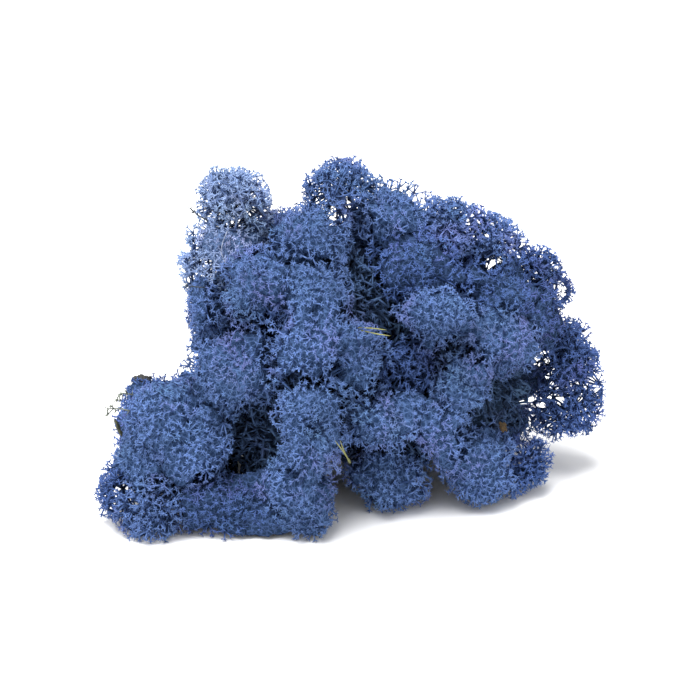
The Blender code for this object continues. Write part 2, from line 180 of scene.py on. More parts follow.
@dataclass
class Shell:
    """Closed triangle surfaces, with an age for each point and a layer for each triangle."""

    points: Floats
    triangles: Ints
    ages: Floats
    layers: Ints

    @classmethod
    def of(cls, points: Floats, triangles: Ints, ages: Floats, layer: Layer = Layer.BRANCHES) -> "Shell":
        """A shell whose triangles are all in one layer."""
        return cls(points, triangles, ages, np.full(len(triangles), layer.value))

    @staticmethod
    def joined(shells: list["Shell"]) -> "Shell":
        """All of the shells as one.

        Args:
            shells: the shells.

        Returns:
            One shell, in which the numbers of the later ones' points are moved up.
        """
        if not shells:
            none = np.zeros((0, 3))
            return Shell.of(none, none.astype(int), none[:, 0])
        starts = np.cumsum([0] + [len(shell.points) for shell in shells[:-1]])
        return Shell(
            np.concatenate([shell.points for shell in shells]),
            np.concatenate([shell.triangles + start for shell, start in zip(shells, starts)]),
            np.concatenate([shell.ages for shell in shells]),
            np.concatenate([shell.layers for shell in shells]),
        )

    def kept_inside(self, low: Floats, high: Floats) -> "Shell":
        """The shell with each point moved into a box."""
        return Shell(np.clip(self.points, low, high), self.triangles, self.ages, self.layers)

    def mesh(self, name: str) -> bpy.types.Mesh:
        """The shell as a Blender mesh.

        Args:
            name: the mesh's name.

        Returns:
            The mesh, in metres, with the ages as an attribute.
        """
        mesh = bpy.data.meshes.new(name)
        count = len(self.triangles)
        mesh.vertices.add(len(self.points))
        mesh.vertices.foreach_set("co", (self.points * MM).astype(np.float32).ravel())
        mesh.loops.add(count * 3)
        mesh.loops.foreach_set("vertex_index", self.triangles.astype(np.int32).ravel())
        mesh.polygons.add(count)
        mesh.polygons.foreach_set("loop_start", np.arange(0, count * 3, 3, dtype=np.int32))
        mesh.polygons.foreach_set("use_smooth", np.ones(count, bool))
        mesh.polygons.foreach_set("material_index", self.layers.astype(np.int32))
        mesh.update(calc_edges=True)
        attribute = mesh.attributes.new(AGE_AND_DEPTH_SHADE, "FLOAT", "POINT")
        attribute.data.foreach_set("value", self.ages.astype(np.float32))
        return mesh


def limbs(paths: Floats, widths: Floats, ages: Floats, turns: Floats, pointed: bool, sides: int = 3) -> Shell:
    """Tapered tubes of a few sides along short paths, closed at both ends.

    Each station of a path gets a ring of points square to the line from the path's first station to its
    last. The walls join ring to ring, a flat cap closes the start, and the end has a cap or a point.

    Args:
        paths: limbs x stations x 3.
        widths: limbs x stations, from the middle to a corner.
        ages: limbs x stations.
        turns: the turn of each limb's rings, in radians.
        pointed: whether the last station is one point.
        sides: how many points a ring has.

    Returns:
        The tubes as one shell.
    """
    count, stations = widths.shape
    axes = unit(paths[:, -1] - paths[:, 0])
    side, lift = cross_ways(axes, turns)
    corners = np.arange(sides) * 2 * math.pi / sides
    star = side[:, None] * np.cos(corners)[:, None] + lift[:, None] * np.sin(corners)[:, None]
    rings = stations - 1 if pointed else stations
    points = paths[:, :rings, None] + widths[:, :rings, None, None] * star[:, None]
    points = points.reshape(count, rings * sides, 3)
    point_ages_and_shade = np.repeat(ages[:, :rings], sides, axis=1)
    corner = np.arange(sides)
    following = (corner + 1) % sides
    fan = np.stack([np.zeros(sides - 2, int), corner[1:-1], corner[2:]], axis=1)
    walls = []
    for ring in range(rings - 1):
        here, there = ring * sides, ring * sides + sides
        walls.append(np.stack([here + corner, here + following, there + following], axis=1))
        walls.append(np.stack([here + corner, there + following, there + corner], axis=1))
    last = (rings - 1) * sides
    if pointed:
        points = np.concatenate([points, paths[:, -1:]], axis=1)
        point_ages_and_shade = np.concatenate([point_ages_and_shade, ages[:, -1:]], axis=1)
        walls.append(np.stack([last + corner, last + following, np.full(sides, rings * sides)], axis=1))
    else:
        walls.append(last + fan)
    walls.append(fan[:, ::-1])
    pattern = np.concatenate(walls)
    each = points.shape[1]
    triangles = (pattern + each * np.arange(count)[:, None, None]).reshape(-1, 3)
    return Shell.of(points.reshape(-1, 3), triangles, point_ages_and_shade.ravel())


def straight(feet: Floats, tops: Floats, widths: Pair, ages: Pair, rng: Rng) -> Shell:
    """Straight limbs between pairs of points.

    Args:
        feet: where they start.
        tops: where they end.
        widths: at the foot and at the top, pointed where the second is 0.
        ages: at the foot and at the top.
        rng: the seeded source of the turns about their own lines.

    Returns:
        The limbs as one shell.
    """
    count = len(feet)
    paths = np.stack([feet, tops], axis=1)
    turns = rng.uniform(0, 2 * math.pi, count)
    return limbs(paths, np.tile(widths, (count, 1)), np.tile(ages, (count, 1)), turns, pointed=widths[1] == 0)


def chain(path: Floats, widths: Floats, age: float, sides: int) -> Shell:
    """Limbs from each point of a path to the next.

    Args:
        path: the points.
        widths: one at each point.
        age: the age of all of it.
        sides: how many points a ring has.

    Returns:
        The limbs as one shell.
    """
    pieces = np.stack([path[:-1], path[1:]], axis=1)
    ends = np.stack([widths[:-1], widths[1:]], axis=1)
    return limbs(pieces, ends, np.full(ends.shape, age), np.zeros(len(ends)), pointed=False, sides=sides)


def ball_grid(rows: int, columns: int) -> tuple[Floats, Floats]:
    """The grid of a ball without its poles: rows from low to high, by columns round the upright axis.

    Args:
        rows: how many rows.
        columns: how many columns.

    Returns:
        Each point's angle from the upper pole, and its turn about the axis.
    """
    height = np.linspace(math.pi, 0, rows + 2)[1:-1]
    turn = np.arange(columns) * 2 * math.pi / columns
    return tuple(np.meshgrid(height, turn, indexing="ij"))


def ball_points(across: Floats, turn: Floats, height: Floats) -> Floats:
    """The points of a ball-like surface with its poles, from each grid point's distance, turn and height."""
    grid = np.stack([across * np.cos(turn), across * np.sin(turn), height], axis=2).reshape(-1, 3)
    return np.concatenate([[[0.0, 0.0, -1.0]], grid, [[0.0, 0.0, 1.0]]])


def ball_triangles(rows: int, columns: int) -> Ints:
    """The triangles of a closed ball: a lower pole, rows of columns from low to high, and an upper pole.

    Args:
        rows: how many rows.
        columns: how many columns. The last one joins the first.

    Returns:
        The triangles, facing outwards.
    """
    row, column = np.meshgrid(np.arange(rows - 1), np.arange(columns), indexing="ij")
    here = 1 + row * columns + column
    beside = 1 + row * columns + (column + 1) % columns
    edge = np.arange(columns)
    after = (edge + 1) % columns
    last = 1 + (rows - 1) * columns
    return np.concatenate(
        [
            np.stack([here, beside, beside + columns], axis=-1).reshape(-1, 3),
            np.stack([here, beside + columns, here + columns], axis=-1).reshape(-1, 3),
            np.stack([np.zeros(columns, int), 1 + after, 1 + edge], axis=1),
            np.stack([last + edge, last + after, np.full(columns, 1 + rows * columns)], axis=1),
        ]
    )


def points_of(node: str) -> Floats:
    """A CAD node's points, in millimetres.

    Args:
        node: its name.

    Returns:
        The points, one a row.
    """
    mesh = frame["nodes"][node].data
    points = np.empty(len(mesh.vertices) * 3, np.float32)
    mesh.vertices.foreach_get("co", points)
    return points.reshape(-1, 3).astype(float) / MM


def ends_of(node: str) -> tuple[Floats, Floats]:
    """The two ends of a long thin CAD node, along its longest way.

    Args:
        node: its name.

    Returns:
        The inner end and the outer one.
    """
    points = points_of(node)
    middle = points.mean(axis=0)
    axis = np.linalg.svd(points - middle, full_matrices=False)[2][0]
    along = (points - middle) @ axis
    ends = middle + axis * along.min(), middle + axis * along.max()
    first, second = (np.linalg.norm(end - INSIDE) for end in ends)
    return ends if first < second else ends[::-1]


@dataclass(frozen=True)
class Trim:
    """How far one side of a head's outside, or all of it, is drawn in, in millimetres."""

    amount: float
    way: Triple | None = None


@dataclass
class Envelope:
    """The rounded outside of one CAD node.

    It is held as planes that just touch the node, each square to one of many even directions.
    """

    middle: Floats
    half: Floats
    offsets: Floats

    NORMALS = spiral(170).astype(np.float32)
    BLEND_MM = 0.9

    @classmethod
    def of(cls, node: str, trims: tuple["Trim", ...]) -> "Envelope":
        """The envelope of a CAD node, less what its trims take off.

        Args:
            node: the node's name.
            trims: how far its sides are drawn in. A side counts by the cosine of its angle to the trim's way.

        Returns:
            The envelope.
        """
        points = points_of(node)
        low, high = points.min(axis=0), points.max(axis=0)
        middle = (low + high) / 2
        offsets = (points @ cls.NORMALS.T).max(axis=0)
        for trim in trims:
            facing = 1.0 if trim.way is None else np.clip(cls.NORMALS @ np.array(trim.way), 0, None)
            offsets = offsets - trim.amount * facing
        return cls(middle, (high - low) / 2, offsets.astype(np.float32))

    def outness(self, points: Floats) -> Floats:
        """How far each point is outside the plane that it is furthest past, and below 0 inside."""
        return self.past(points).max(axis=1).astype(float)

    def facing(self, points: Floats) -> Floats:
        """The outward direction at each point, averaged over the planes that it is nearly furthest past."""
        past = self.past(points)
        return unit(np.exp((past - past.max(axis=1, keepdims=True)) / self.BLEND_MM) @ self.NORMALS)

    def past(self, points: Floats) -> Floats:
        """How far each point is past each plane."""
        return points.astype(np.float32) @ self.NORMALS.T - self.offsets


@dataclass(frozen=True)
class View:
    """The camera's line of sight, and places as they are seen: millimetres across and up from its middle."""

    target: Triple = (-2.0, 1.4, 45.0)
    elevation: float = math.radians(20)
    distance: float = 516.0

    @property
    def back(self) -> Floats:
        """The direction from the target to the camera."""
        return np.array([0.0, -math.cos(self.elevation), math.sin(self.elevation)])

    @property
    def camera(self) -> Floats:
        """The camera's place."""
        return np.array(self.target) + self.back * self.distance

    def place(self, across: float, up: float) -> Floats:
        """The point of the plane through the target that is seen so far across and up."""
        lift = np.array([0.0, math.sin(self.elevation), math.cos(self.elevation)])
        return np.array(self.target) + np.array([across, 0.0, 0.0]) + lift * up

    def ray(self, across: float, up: float) -> Floats:
        """The direction from the camera to a seen point."""
        return unit(self.place(across, up) - self.camera)


@dataclass(frozen=True)
class Window:
    """A gap right through the branches: where it is seen, and its radius."""

    across: float
    up: float
    radius: float


@dataclass
class Clump:
    """All of the growths: the one soft outside that they share, and what each hides of the others."""

    envelopes: dict[str, Envelope]
    low: Floats
    high: Floats
    view: View
    windows: tuple[Window, ...]
    softness: float = 4.4
    table_softness: float = 2.2
    table_zone: float = 14.0
    back_softness: float = 1.8
    back_start: float = 12.0
    back_zone: float = 20.0
    drawn_in: float = 0.95
    stalk_depth: float = 1.0
    reach_past: float = 12.0
    shrink: float = 0.88
    lowest_ray: float = -0.3
    lump_depth: float = 0.55
    lump_waves: int = 14
    seen_zone: float = 75.0
    seen_step: float = 0.3
    halvings: int = 8
    least_ahead: float = 0.05
    rays: Floats = field(default_factory=lambda: spiral(64))

    def near(self, name: str) -> list[str]:
        """The other growths whose boxes come close to this one's.

        Args:
            name: this growth.

        Returns:
            Their names.
        """
        own = self.envelopes[name]
        return [
            other
            for other, envelope in self.envelopes.items()
            if other != name
            and (np.abs(envelope.middle - own.middle) < envelope.half + own.half + self.reach_past).all()
        ]

    def own_outness(self, name: str, points: Floats) -> Floats:
        """How far points are outside one growth. Old stalks are drawn in, so they lie deeper than heads."""
        return self.envelopes[name].outness(points) + (self.stalk_depth if name.startswith("old") else 0.0)

    def carved(self, points: Floats) -> Floats:
        """How far points are inside a window: its radius less the distance from its axis.

        Args:
            points: the points.

        Returns:
            For each point, the most for any window.
        """
        inside = np.full(len(points), -np.inf)
        from_camera = points - self.view.camera
        for window in self.windows:
            ray = self.view.ray(window.across, window.up)
            from_axis = np.linalg.norm(from_camera - (from_camera @ ray)[:, None] * ray, axis=1)
            inside = np.maximum(inside, window.radius - from_axis)
        return inside

    def backness(self, points: Floats) -> Floats:
        """From 0 in front to 1 at the back, where the heads crowd together into one uneven cushion."""
        return np.clip((points[:, 1] - self.back_start) / self.back_zone, 0, 1)

    def softness_at(self, points: Floats) -> Floats:
        """How softly heads merge: more near the table, where they are pressed together, and at the back."""
        table = self.table_softness * np.exp(-points[:, 2] / self.table_zone)
        return self.softness + table + self.back_softness * self.backness(points)

    def lumps(self, points: Floats) -> Floats:
        """The unevenness of the outside: a sum of sine waves, 7 to 17 mm long, twice as deep at the back.

        Args:
            points: places on the outside.

        Returns:
            How far the outside is raised at each.
        """
        rng = np.random.default_rng(SEED)
        lengths = rng.uniform(7, 17, self.lump_waves)
        waves = spiral(self.lump_waves) * (2 * math.pi / lengths)[:, None]
        sum_of_waves = np.sin(points @ waves.T + rng.uniform(0, 7, self.lump_waves)).sum(axis=1) / 2
        return self.lump_depth * (1 + self.backness(points)) * sum_of_waves

    def merged(self, every: Floats, points: Floats) -> Floats:
        """How far points are outside the one surface that some growths share.

        It is a soft minimum of the growths' outness: minus the softness times the logarithm of the sum of
        exp(-outness / softness). It fills the valleys between heads and keeps their tops.

        Args:
            every: growths x points, how far each point is outside each growth.
            points: the points.

        Returns:
            The outness from the shared surface, drawn in a little and made uneven.
        """
        softness = self.softness_at(points)
        shared = -softness * np.logaddexp.reduce(-every / softness, axis=0)
        return shared + self.drawn_in - self.lumps(points)

    def outness(self, name: str, points: Floats) -> tuple[Floats, Floats, Floats]:
        """How far points are outside the shared surface, a growth, and that growth's share of the surface.

        A point is past the growth's share where another growth has a smaller outness.

        Args:
            name: the growth.
            points: the points.

        Returns:
            The outness from the shared surface, from the growth, and the second less the smallest other one.
        """
        every = np.stack([self.own_outness(growth, points) for growth in [name, *self.near(name)]])
        shared = np.maximum(self.merged(every, points), self.carved(points))
        return shared, every[0], every[0] - every[1:].min(axis=0)

    def seen_at(self, across: float, up: float) -> Floats:
        """The first point of the shared surface on a line of sight, or the one nearest to the line.

        Args:
            across: where it is seen, in millimetres right of the middle of the view.
            up: the same, upwards.

        Returns:
            The point.
        """
        middle = self.view.distance
        steps = np.arange(middle - self.seen_zone, middle + self.seen_zone, self.seen_step)
        points = self.view.camera + self.view.ray(across, up) * steps[:, None]
        shared = self.merged(np.stack([self.own_outness(name, points) for name in self.envelopes]), points)
        met = np.flatnonzero(shared < 0)
        return points[met[0]] if len(met) else points[shared.argmin()]

    def reach(
        self, name: str, ways: Floats, depth: float, furthest: float, most_past: float = math.inf
    ) -> Floats:
        """The distance from a growth's middle to the shared surface, less a depth, along each direction.

        It is found by halving, between the middle and a little past the growth.

        Args:
            name: the growth.
            ways: unit directions.
            depth: how far under the surface.
            furthest: the most that the distance may lead out of the growth's own outside.
            most_past: the most that it may lead past the growth's own share.

        Returns:
            The distances.
        """
        envelope = self.envelopes[name]
        near = np.zeros(len(ways))
        far = np.full(len(ways), np.linalg.norm(envelope.half) + self.reach_past)
        for _ in range(self.halvings):
            half_way = (near + far) / 2
            shared, own, past = self.outness(name, envelope.middle + ways * half_way[:, None])
            outside = (shared + depth > 0) | (own > furthest) | (past > most_past)
            near, far = np.where(outside, near, half_way), np.where(outside, half_way, far)
        return (near + far) / 2

    def facing(self, name: str, points: Floats) -> Floats:
        """The outward direction of the shared surface: the near growths' own, weighed as it weighs them.

        Args:
            name: the growth that the points belong to.
            points: places on its outside.

        Returns:
            A unit vector for each point.
        """
        total = np.zeros(points.shape)
        for other in [name, *self.near(name)]:
            weight = np.exp(-self.own_outness(other, points) / self.softness)
            total += weight[:, None] * self.envelopes[other].facing(points)
        return unit(total)

    def sky_share(self, name: str, points: Floats, facing: Floats) -> Floats:
        """How much of the sky in front of each point no other growth hides.

        Every other growth counts as an ellipsoid in its own box, a little shrunk. A ray is hidden where it
        leaves such an ellipsoid ahead of the point, or where it goes down to the table.

        Args:
            name: the growth that the points belong to.
            points: places on its outside.
            facing: the outward directions there.

        Returns:
            For each point, the share of the rays in front of it that get out.
        """
        ahead = facing @ self.rays.T > self.least_ahead
        hidden = np.broadcast_to(self.rays[:, 2] < self.lowest_ray, ahead.shape).copy()
        for other, envelope in self.envelopes.items():
            if other == name:
                continue
            half = envelope.half * self.shrink
            start = (points - envelope.middle) / half
            ways = self.rays / half
            square = (ways**2).sum(axis=1)
            along = start @ ways.T
            outside = (start**2).sum(axis=1)[:, None] - 1
            under = along**2 - square * outside
            hidden |= (under > 0) & (np.sqrt(np.maximum(under, 0)) > along)
        return (ahead & ~hidden).sum(axis=1) / np.maximum(ahead.sum(axis=1), 1)


@dataclass(frozen=True)
class StarHabit:
    """How the star-shaped branch ends of cushion lichen grow, in millimetres."""

    spacing: float = 1.95
    inner_spacing: float = 1.2
    tuft_width: float = 1.75
    arm_length: float = 1.2
    arm_length_change: float = 0.18
    arm_width: float = 0.2
    arm_lean: float = math.radians(64)
    arm_lean_change: float = 0.2
    arm_turn_change: float = 0.17
    forks_an_arm: float = 1.3
    fork_length: float = 0.72
    fork_width: float = 0.145
    fork_turn: float = math.radians(46)
    stem_foot_width: float = 0.3
    stem_top_width: float = 0.22
    knot_depth: float = 2.6
    tuft_dome: float = 0.12
    fewest_arms: int = 4
    most_arms: int = 6
    unevenness: float = 0.4
    axis_spread: float = 0.32

    def stars(self, centres: Floats, axes: Floats, rng: Rng) -> list[Shell]:
        """The star-shaped branch ends.

        Arms leave each centre at even angles round its axis, lean far out and end in a point. Thorns leave
        them part way, turned to one side, so that they end in a Y.

        Args:
            centres: the stars' middles.
            axes: the directions that they face.
            rng: the seeded source of their unevenness.

        Returns:
            The shells of the arms and of the thorns.
        """
        count = len(centres)
        arms = rng.integers(self.fewest_arms, self.most_arms + 1, count)
        star, slot = np.nonzero(np.arange(self.most_arms)[None] < arms[:, None])
        total = len(star)
        turn = rng.uniform(0, 2 * math.pi, count)[star] + 2 * math.pi * slot / arms[star]
        turn = turn + rng.normal(0, self.arm_turn_change, total)
        side, lift = cross_ways(axes, np.zeros(count))
        length = self.arm_length * (1 + rng.normal(0, self.arm_length_change, total).clip(-0.5, 0.5))
        lean = self.arm_lean + rng.normal(0, self.arm_lean_change, total)

        def arm_way(turns: Floats, leans: Floats, owners: Ints) -> Floats:
            """The direction at a turn about a star's axis and a lean away from it."""
            out = np.cos(turns)[:, None] * side[owners] + np.sin(turns)[:, None] * lift[owners]
            return np.sin(leans)[:, None] * out + np.cos(leans)[:, None] * axes[owners]

        way = arm_way(turn, lean, star)
        start = centres[star] - 0.1 * axes[star]
        shells = [straight(start, start + way * length[:, None], (self.arm_width, 0.0), (0.75, 1.0), rng)]
        thorns = int(total * self.forks_an_arm)
        arm = rng.permutation(np.tile(np.arange(total), 2))[:thorns]
        foot = start[arm] + way[arm] * (length[arm] * rng.uniform(0.25, 0.6, thorns))[:, None]
        sign = np.where(rng.random(thorns) < 0.5, -1.0, 1.0)
        leans = lean[arm] * rng.uniform(0.6, 1.2, thorns)
        thorn_way = arm_way(turn[arm] + sign * self.fork_turn, leans, star[arm])
        end = foot + thorn_way * self.fork_length * rng.uniform(0.75, 1.2, thorns)[:, None]
        shells.append(straight(foot, end, (self.fork_width, 0.0), (0.9, 1.0), rng))
        return shells


class Form(Enum):
    """How close a head's branches stand: the depths of its layers of stars, and the depth of its tangle.

    A dense head has one layer, with a rough tangle just under it. A loose one has two, over a deeper
    tangle. A lacy one has three and no tangle, so that light comes through it.
    """

    DENSE = ((0.0,), 1.8)
    LOOSE = ((0.0, 2.2), 4.4)
    LACY = ((0.0, 2.3, 4.8), math.inf)

    @property
    def star_depths(self) -> tuple[float, ...]:
        """How far under the outside each layer of stars is."""
        return self.value[0]

    @property
    def tangle_depth(self) -> float:
        """How far under the outside the tangle is."""
        return self.value[1]


@dataclass(frozen=True)
class Web:
    """Stalks that cross the space inside a growth from joint to joint, in millimetres."""

    spacing: float
    least_depth: float
    most_depth: float
    width: float
    neighbours: int = 3
    tries: float = 2.2
    least_sky: float = 0.0


@dataclass
class Growth:
    """What heads and old stalks share: a name, a place in the clump and a rough tangle inside."""

    name: str
    clump: Clump
    rng: Rng
    habit: StarHabit = field(default_factory=StarHabit)
    star_limit: float = 3.2
    tangle_limit: float = 6.5
    tangle_overlap: float = 1.0
    steepest: float = 1.12
    tangle_rows: int = 24
    tangle_columns: int = 36
    spacing_scale: float = 1.0
    least_sky: float = 0.03
    least_outward: float = 0.1
    most_past_share: float = 0.1
    tries: float = 4.0
    packing: float = 0.82
    root_depth: float = 2.4
    lowest_stalk: float = 0.8
    lowest_star: float = 0.3
    star_tilt: float = 0.16
    star_drops: Pair = (-0.3, 1.4)
    tangle_roughness: Pair = (-0.9, 0.1)
    tangle_lowest: float = 2.2
    root_lengths: tuple[float, ...] = (0.0, 1.5, 3.0, 5.0, 8.0)

    @property
    def envelope(self) -> Envelope:
        """The outside of the growth's own CAD node."""
        return self.clump.envelopes[self.name]

    def outside(self, ways: Floats, depth: float) -> Floats:
        """The points under the shared outside, at a depth, along some directions from the middle."""
        reach = self.clump.reach(self.name, ways, depth, self.star_limit)
        return self.envelope.middle + ways * reach[:, None]

    def in_sight(self, points: Floats, least_sky: float) -> tuple[NDArray[np.bool_], Floats]:
        """Which of some points have enough sky in front, and the outward directions there."""
        facing = self.clump.facing(self.name, points)
        return self.clump.sky_share(self.name, points, facing) > least_sky, facing

    def straight(self, feet: Floats, tops: Floats, widths: Pair, ages: Pair) -> Shell:
        """Straight limbs between pairs of points, pointed where the second width is 0."""
        return straight(feet, tops, widths, ages, self.rng)

    def web(self, web: Web) -> tuple[Shell, Floats]:
        """Stalks through the growth's share of the clump, between two depths under the outside.

        Joints are drawn at random and thinned to an even spacing, and each is tied to its nearest
        neighbours. A stalk is younger and paler the nearer it is to the outside, and darker the deeper it
        lies:
        partly real older wood and partly painted shade.

        Args:
            web: the stalks' sizes.

        Returns:
            The stalks, and their joints.
        """
        room = self.envelope.half + 2.0
        count = int(web.tries * 8 * float(room.prod()) / web.spacing**3)
        joints = self.envelope.middle + self.rng.uniform(-1, 1, (count, 3)) * room
        shared, own, past = self.clump.outness(self.name, joints)
        inside = (shared < -web.least_depth) & (shared > -web.most_depth) & (joints[:, 2] > self.lowest_stalk)
        inside &= (own < self.star_limit) & (past < 1.0)
        joints, depth = joints[inside], -shared[inside]
        if web.least_sky > 0 and len(joints):
            seen = self.in_sight(joints, web.least_sky)[0]
            joints, depth = joints[seen], depth[seen]
        picked = spaced(joints, web.spacing, self.rng)
        joints, depth = joints[picked], depth[picked]
        if len(joints) <= web.neighbours:
            return Shell.joined([]), joints
        distance = ((joints[:, None] - joints[None]) ** 2).sum(axis=2)
        nearest = distance.argsort(axis=1)[:, 1 : web.neighbours + 1]
        pairs = np.stack([np.repeat(np.arange(len(joints)), web.neighbours), nearest.ravel()], axis=1)
        start, end = np.unique(np.sort(pairs, axis=1), axis=0).T
        widths = web.width * self.rng.uniform(0.65, 1.2, len(joints))
        # Painted shade: a stalk's colour darkens the deeper it lies under the outside.
        ages = np.clip(0.5 - 0.045 * depth, 0.0, 0.5)
        shell = limbs(
            np.stack([joints[start], joints[end]], axis=1),
            np.stack([widths[start], widths[end]], axis=1),
            np.stack([ages[start], ages[end]], axis=1),
            self.rng.uniform(0, 2 * math.pi, len(start)),
            pointed=False,
        )
        return shell, joints

    def tangle(self, depth: float) -> Shell:
        """The tangle inside: the growth's share of the space under the outside, with a rough surface.

        Its grid has rows of heights by columns of turns. Each pole is one point, and the last column joins
        the first. No point reaches much further than the mean of the four beside it, so it has no spikes.

        Args:
            depth: how far under the outside it is.

        Returns:
            The tangle's shell.
        """
        rows, columns = self.tangle_rows, self.tangle_columns
        height, turn = ball_grid(rows, columns)
        ways = ball_points(np.sin(height), turn, np.cos(height))
        reach = self.clump.reach(self.name, ways, depth, self.tangle_limit, self.tangle_overlap)
        grid = reach[1:-1].reshape(rows, columns)
        upper, lower = np.vstack([grid[1:], grid[-1:]]), np.vstack([grid[:1], grid[:-1]])
        around = (upper + lower + np.roll(grid, 1, axis=1) + np.roll(grid, -1, axis=1)) / 4
        reach[1:-1] = np.minimum(grid, around * self.steepest).ravel()
        rough = self.rng.uniform(*self.tangle_roughness, len(ways))
        points = self.envelope.middle + ways * np.maximum(reach + rough, 0.3)[:, None]
        points[:, 2] = np.maximum(points[:, 2], self.tangle_lowest + 2 * rough)
        return Shell.of(points, ball_triangles(rows, columns), 0.5 + rough * 0.4, Layer.TANGLE)

    def star_layer(self, depth: float) -> tuple[list[Shell], Floats]:
        """One layer of stars, at a depth under the outside, with the stems that carry them.

        Args:
            depth: how far under the outside the layer's usual star is.

        Returns:
            The shells, and the knots that the stems start from.
        """
        habit = self.habit
        spacing = habit.spacing * self.spacing_scale * (1.0 if depth == 0 else habit.inner_spacing)
        centres, facing = self.star_places(spacing, depth)
        if not len(centres):
            return [], np.zeros((0, 3))

        tops = spaced(centres, spacing * habit.tuft_width, self.rng)
        tuft = ((centres[:, None] - centres[tops][None]) ** 2).sum(axis=2).argmin(axis=1)
        sideways = centres - centres[tops][tuft]
        sideways -= (sideways * facing).sum(axis=1, keepdims=True) * facing
        drop = habit.tuft_dome * (sideways**2).sum(axis=1)
        drop += self.rng.uniform(-1, 1, len(drop)) * habit.unevenness
        knots = centres[tops] - facing[tops] * habit.knot_depth
        centres = centres - facing * np.clip(drop, *self.star_drops)[:, None]
        lean = habit.axis_spread * sideways / spacing + self.rng.normal(0, self.star_tilt, centres.shape)
        axes = unit(facing + lean)
        stem_widths = (habit.stem_foot_width, habit.stem_top_width)
        stems = self.straight(knots[tuft], centres, stem_widths, (0.35, 0.8))
        return [stems, self.roots(knots), *habit.stars(centres, axes, self.rng)], knots

    def star_places(self, spacing: float, depth: float) -> tuple[Floats, Floats]:
        """Where the stars stand: even over the head's share of the outside, where enough sky is in front.

        Args:
            spacing: the usual distance between stars.
            depth: how far under the outside.

        Returns:
            The places, and the outward directions there.
        """
        usual_reach = float(np.cbrt(self.envelope.half.prod()))
        candidates = int(self.tries * 4 * math.pi * usual_reach**2 / spacing**2)
        ways = jittered(spiral(candidates), 0.4, self.rng)
        places = self.outside(ways, depth + self.habit.arm_length * 0.35)
        shown, facing = self.in_sight(places, self.least_sky)
        shown &= self.clump.outness(self.name, places)[2] < self.most_past_share
        shown &= (places[:, 2] > self.lowest_star) & ((ways * facing).sum(axis=1) > self.least_outward)
        places, facing = places[shown], facing[shown]
        picked = spaced(places, spacing * self.packing, self.rng)
        return places[picked], facing[picked]

    def roots(self, knots: Floats) -> Shell:
        """Stalks that hold the knots which would hang free.

        Args:
            knots: where the stems start.

        Returns:
            Stalks from such knots towards the middle, until they are well inside the growth.
        """
        way = unit(self.envelope.middle - knots)
        spots = knots[:, None] + way[:, None] * np.array(self.root_lengths)[:, None]
        shared, own, _ = self.clump.outness(self.name, spots.reshape(-1, 3))
        firm = ((shared < -self.root_depth) & (own < -self.root_depth / 2)).reshape(len(knots), -1)
        firm[:, -1] = True
        first = firm.argmax(axis=1)
        loose = np.flatnonzero(first > 0)
        return self.straight(spots[loose, first[loose]], knots[loose], (0.4, 0.3), (0.0, 0.35))


@dataclass
class Head(Growth):
    """One cushion: stars on its outside, stems, knots, stalks and a tangled middle."""

    form: Form = Form.DENSE
    web_spacing: float = 2.4
    web_width: float = 0.4
    web_start: float = 1.2
    web_overlap: float = 0.6
    web_most_depth: float = 14.0

    def build(self) -> Shell:
        """The whole head.

        Stars stand on the outside at an even spacing, and each leans away from the axis of its tuft. A star
        lies lower the further it is from that axis, so a tuft is a small dome.

        Returns:
            One shell of all of the head's branches and of its middle.
        """
        shells, knots = [], []
        for depth in self.form.star_depths:
            layer, layer_knots = self.star_layer(depth)
            shells.extend(layer)
            knots.append(layer_knots)
        if self.form is not Form.LACY:
            shells.append(self.tangle(self.form.tangle_depth))
        if self.form is not Form.DENSE:
            most_depth = min(self.form.tangle_depth + self.web_overlap, self.web_most_depth)
            stalks, joints = self.web(Web(self.web_spacing, self.web_start, most_depth, self.web_width))
            loose_knots = np.concatenate(knots)
            distance = ((loose_knots[:, None] - joints[None]) ** 2).sum(axis=2)
            ties = self.straight(joints[distance.argmin(axis=1)], loose_knots, (0.36, 0.3), (0.2, 0.35))
            shells.extend([stalks, ties])
        return Shell.joined(shells)


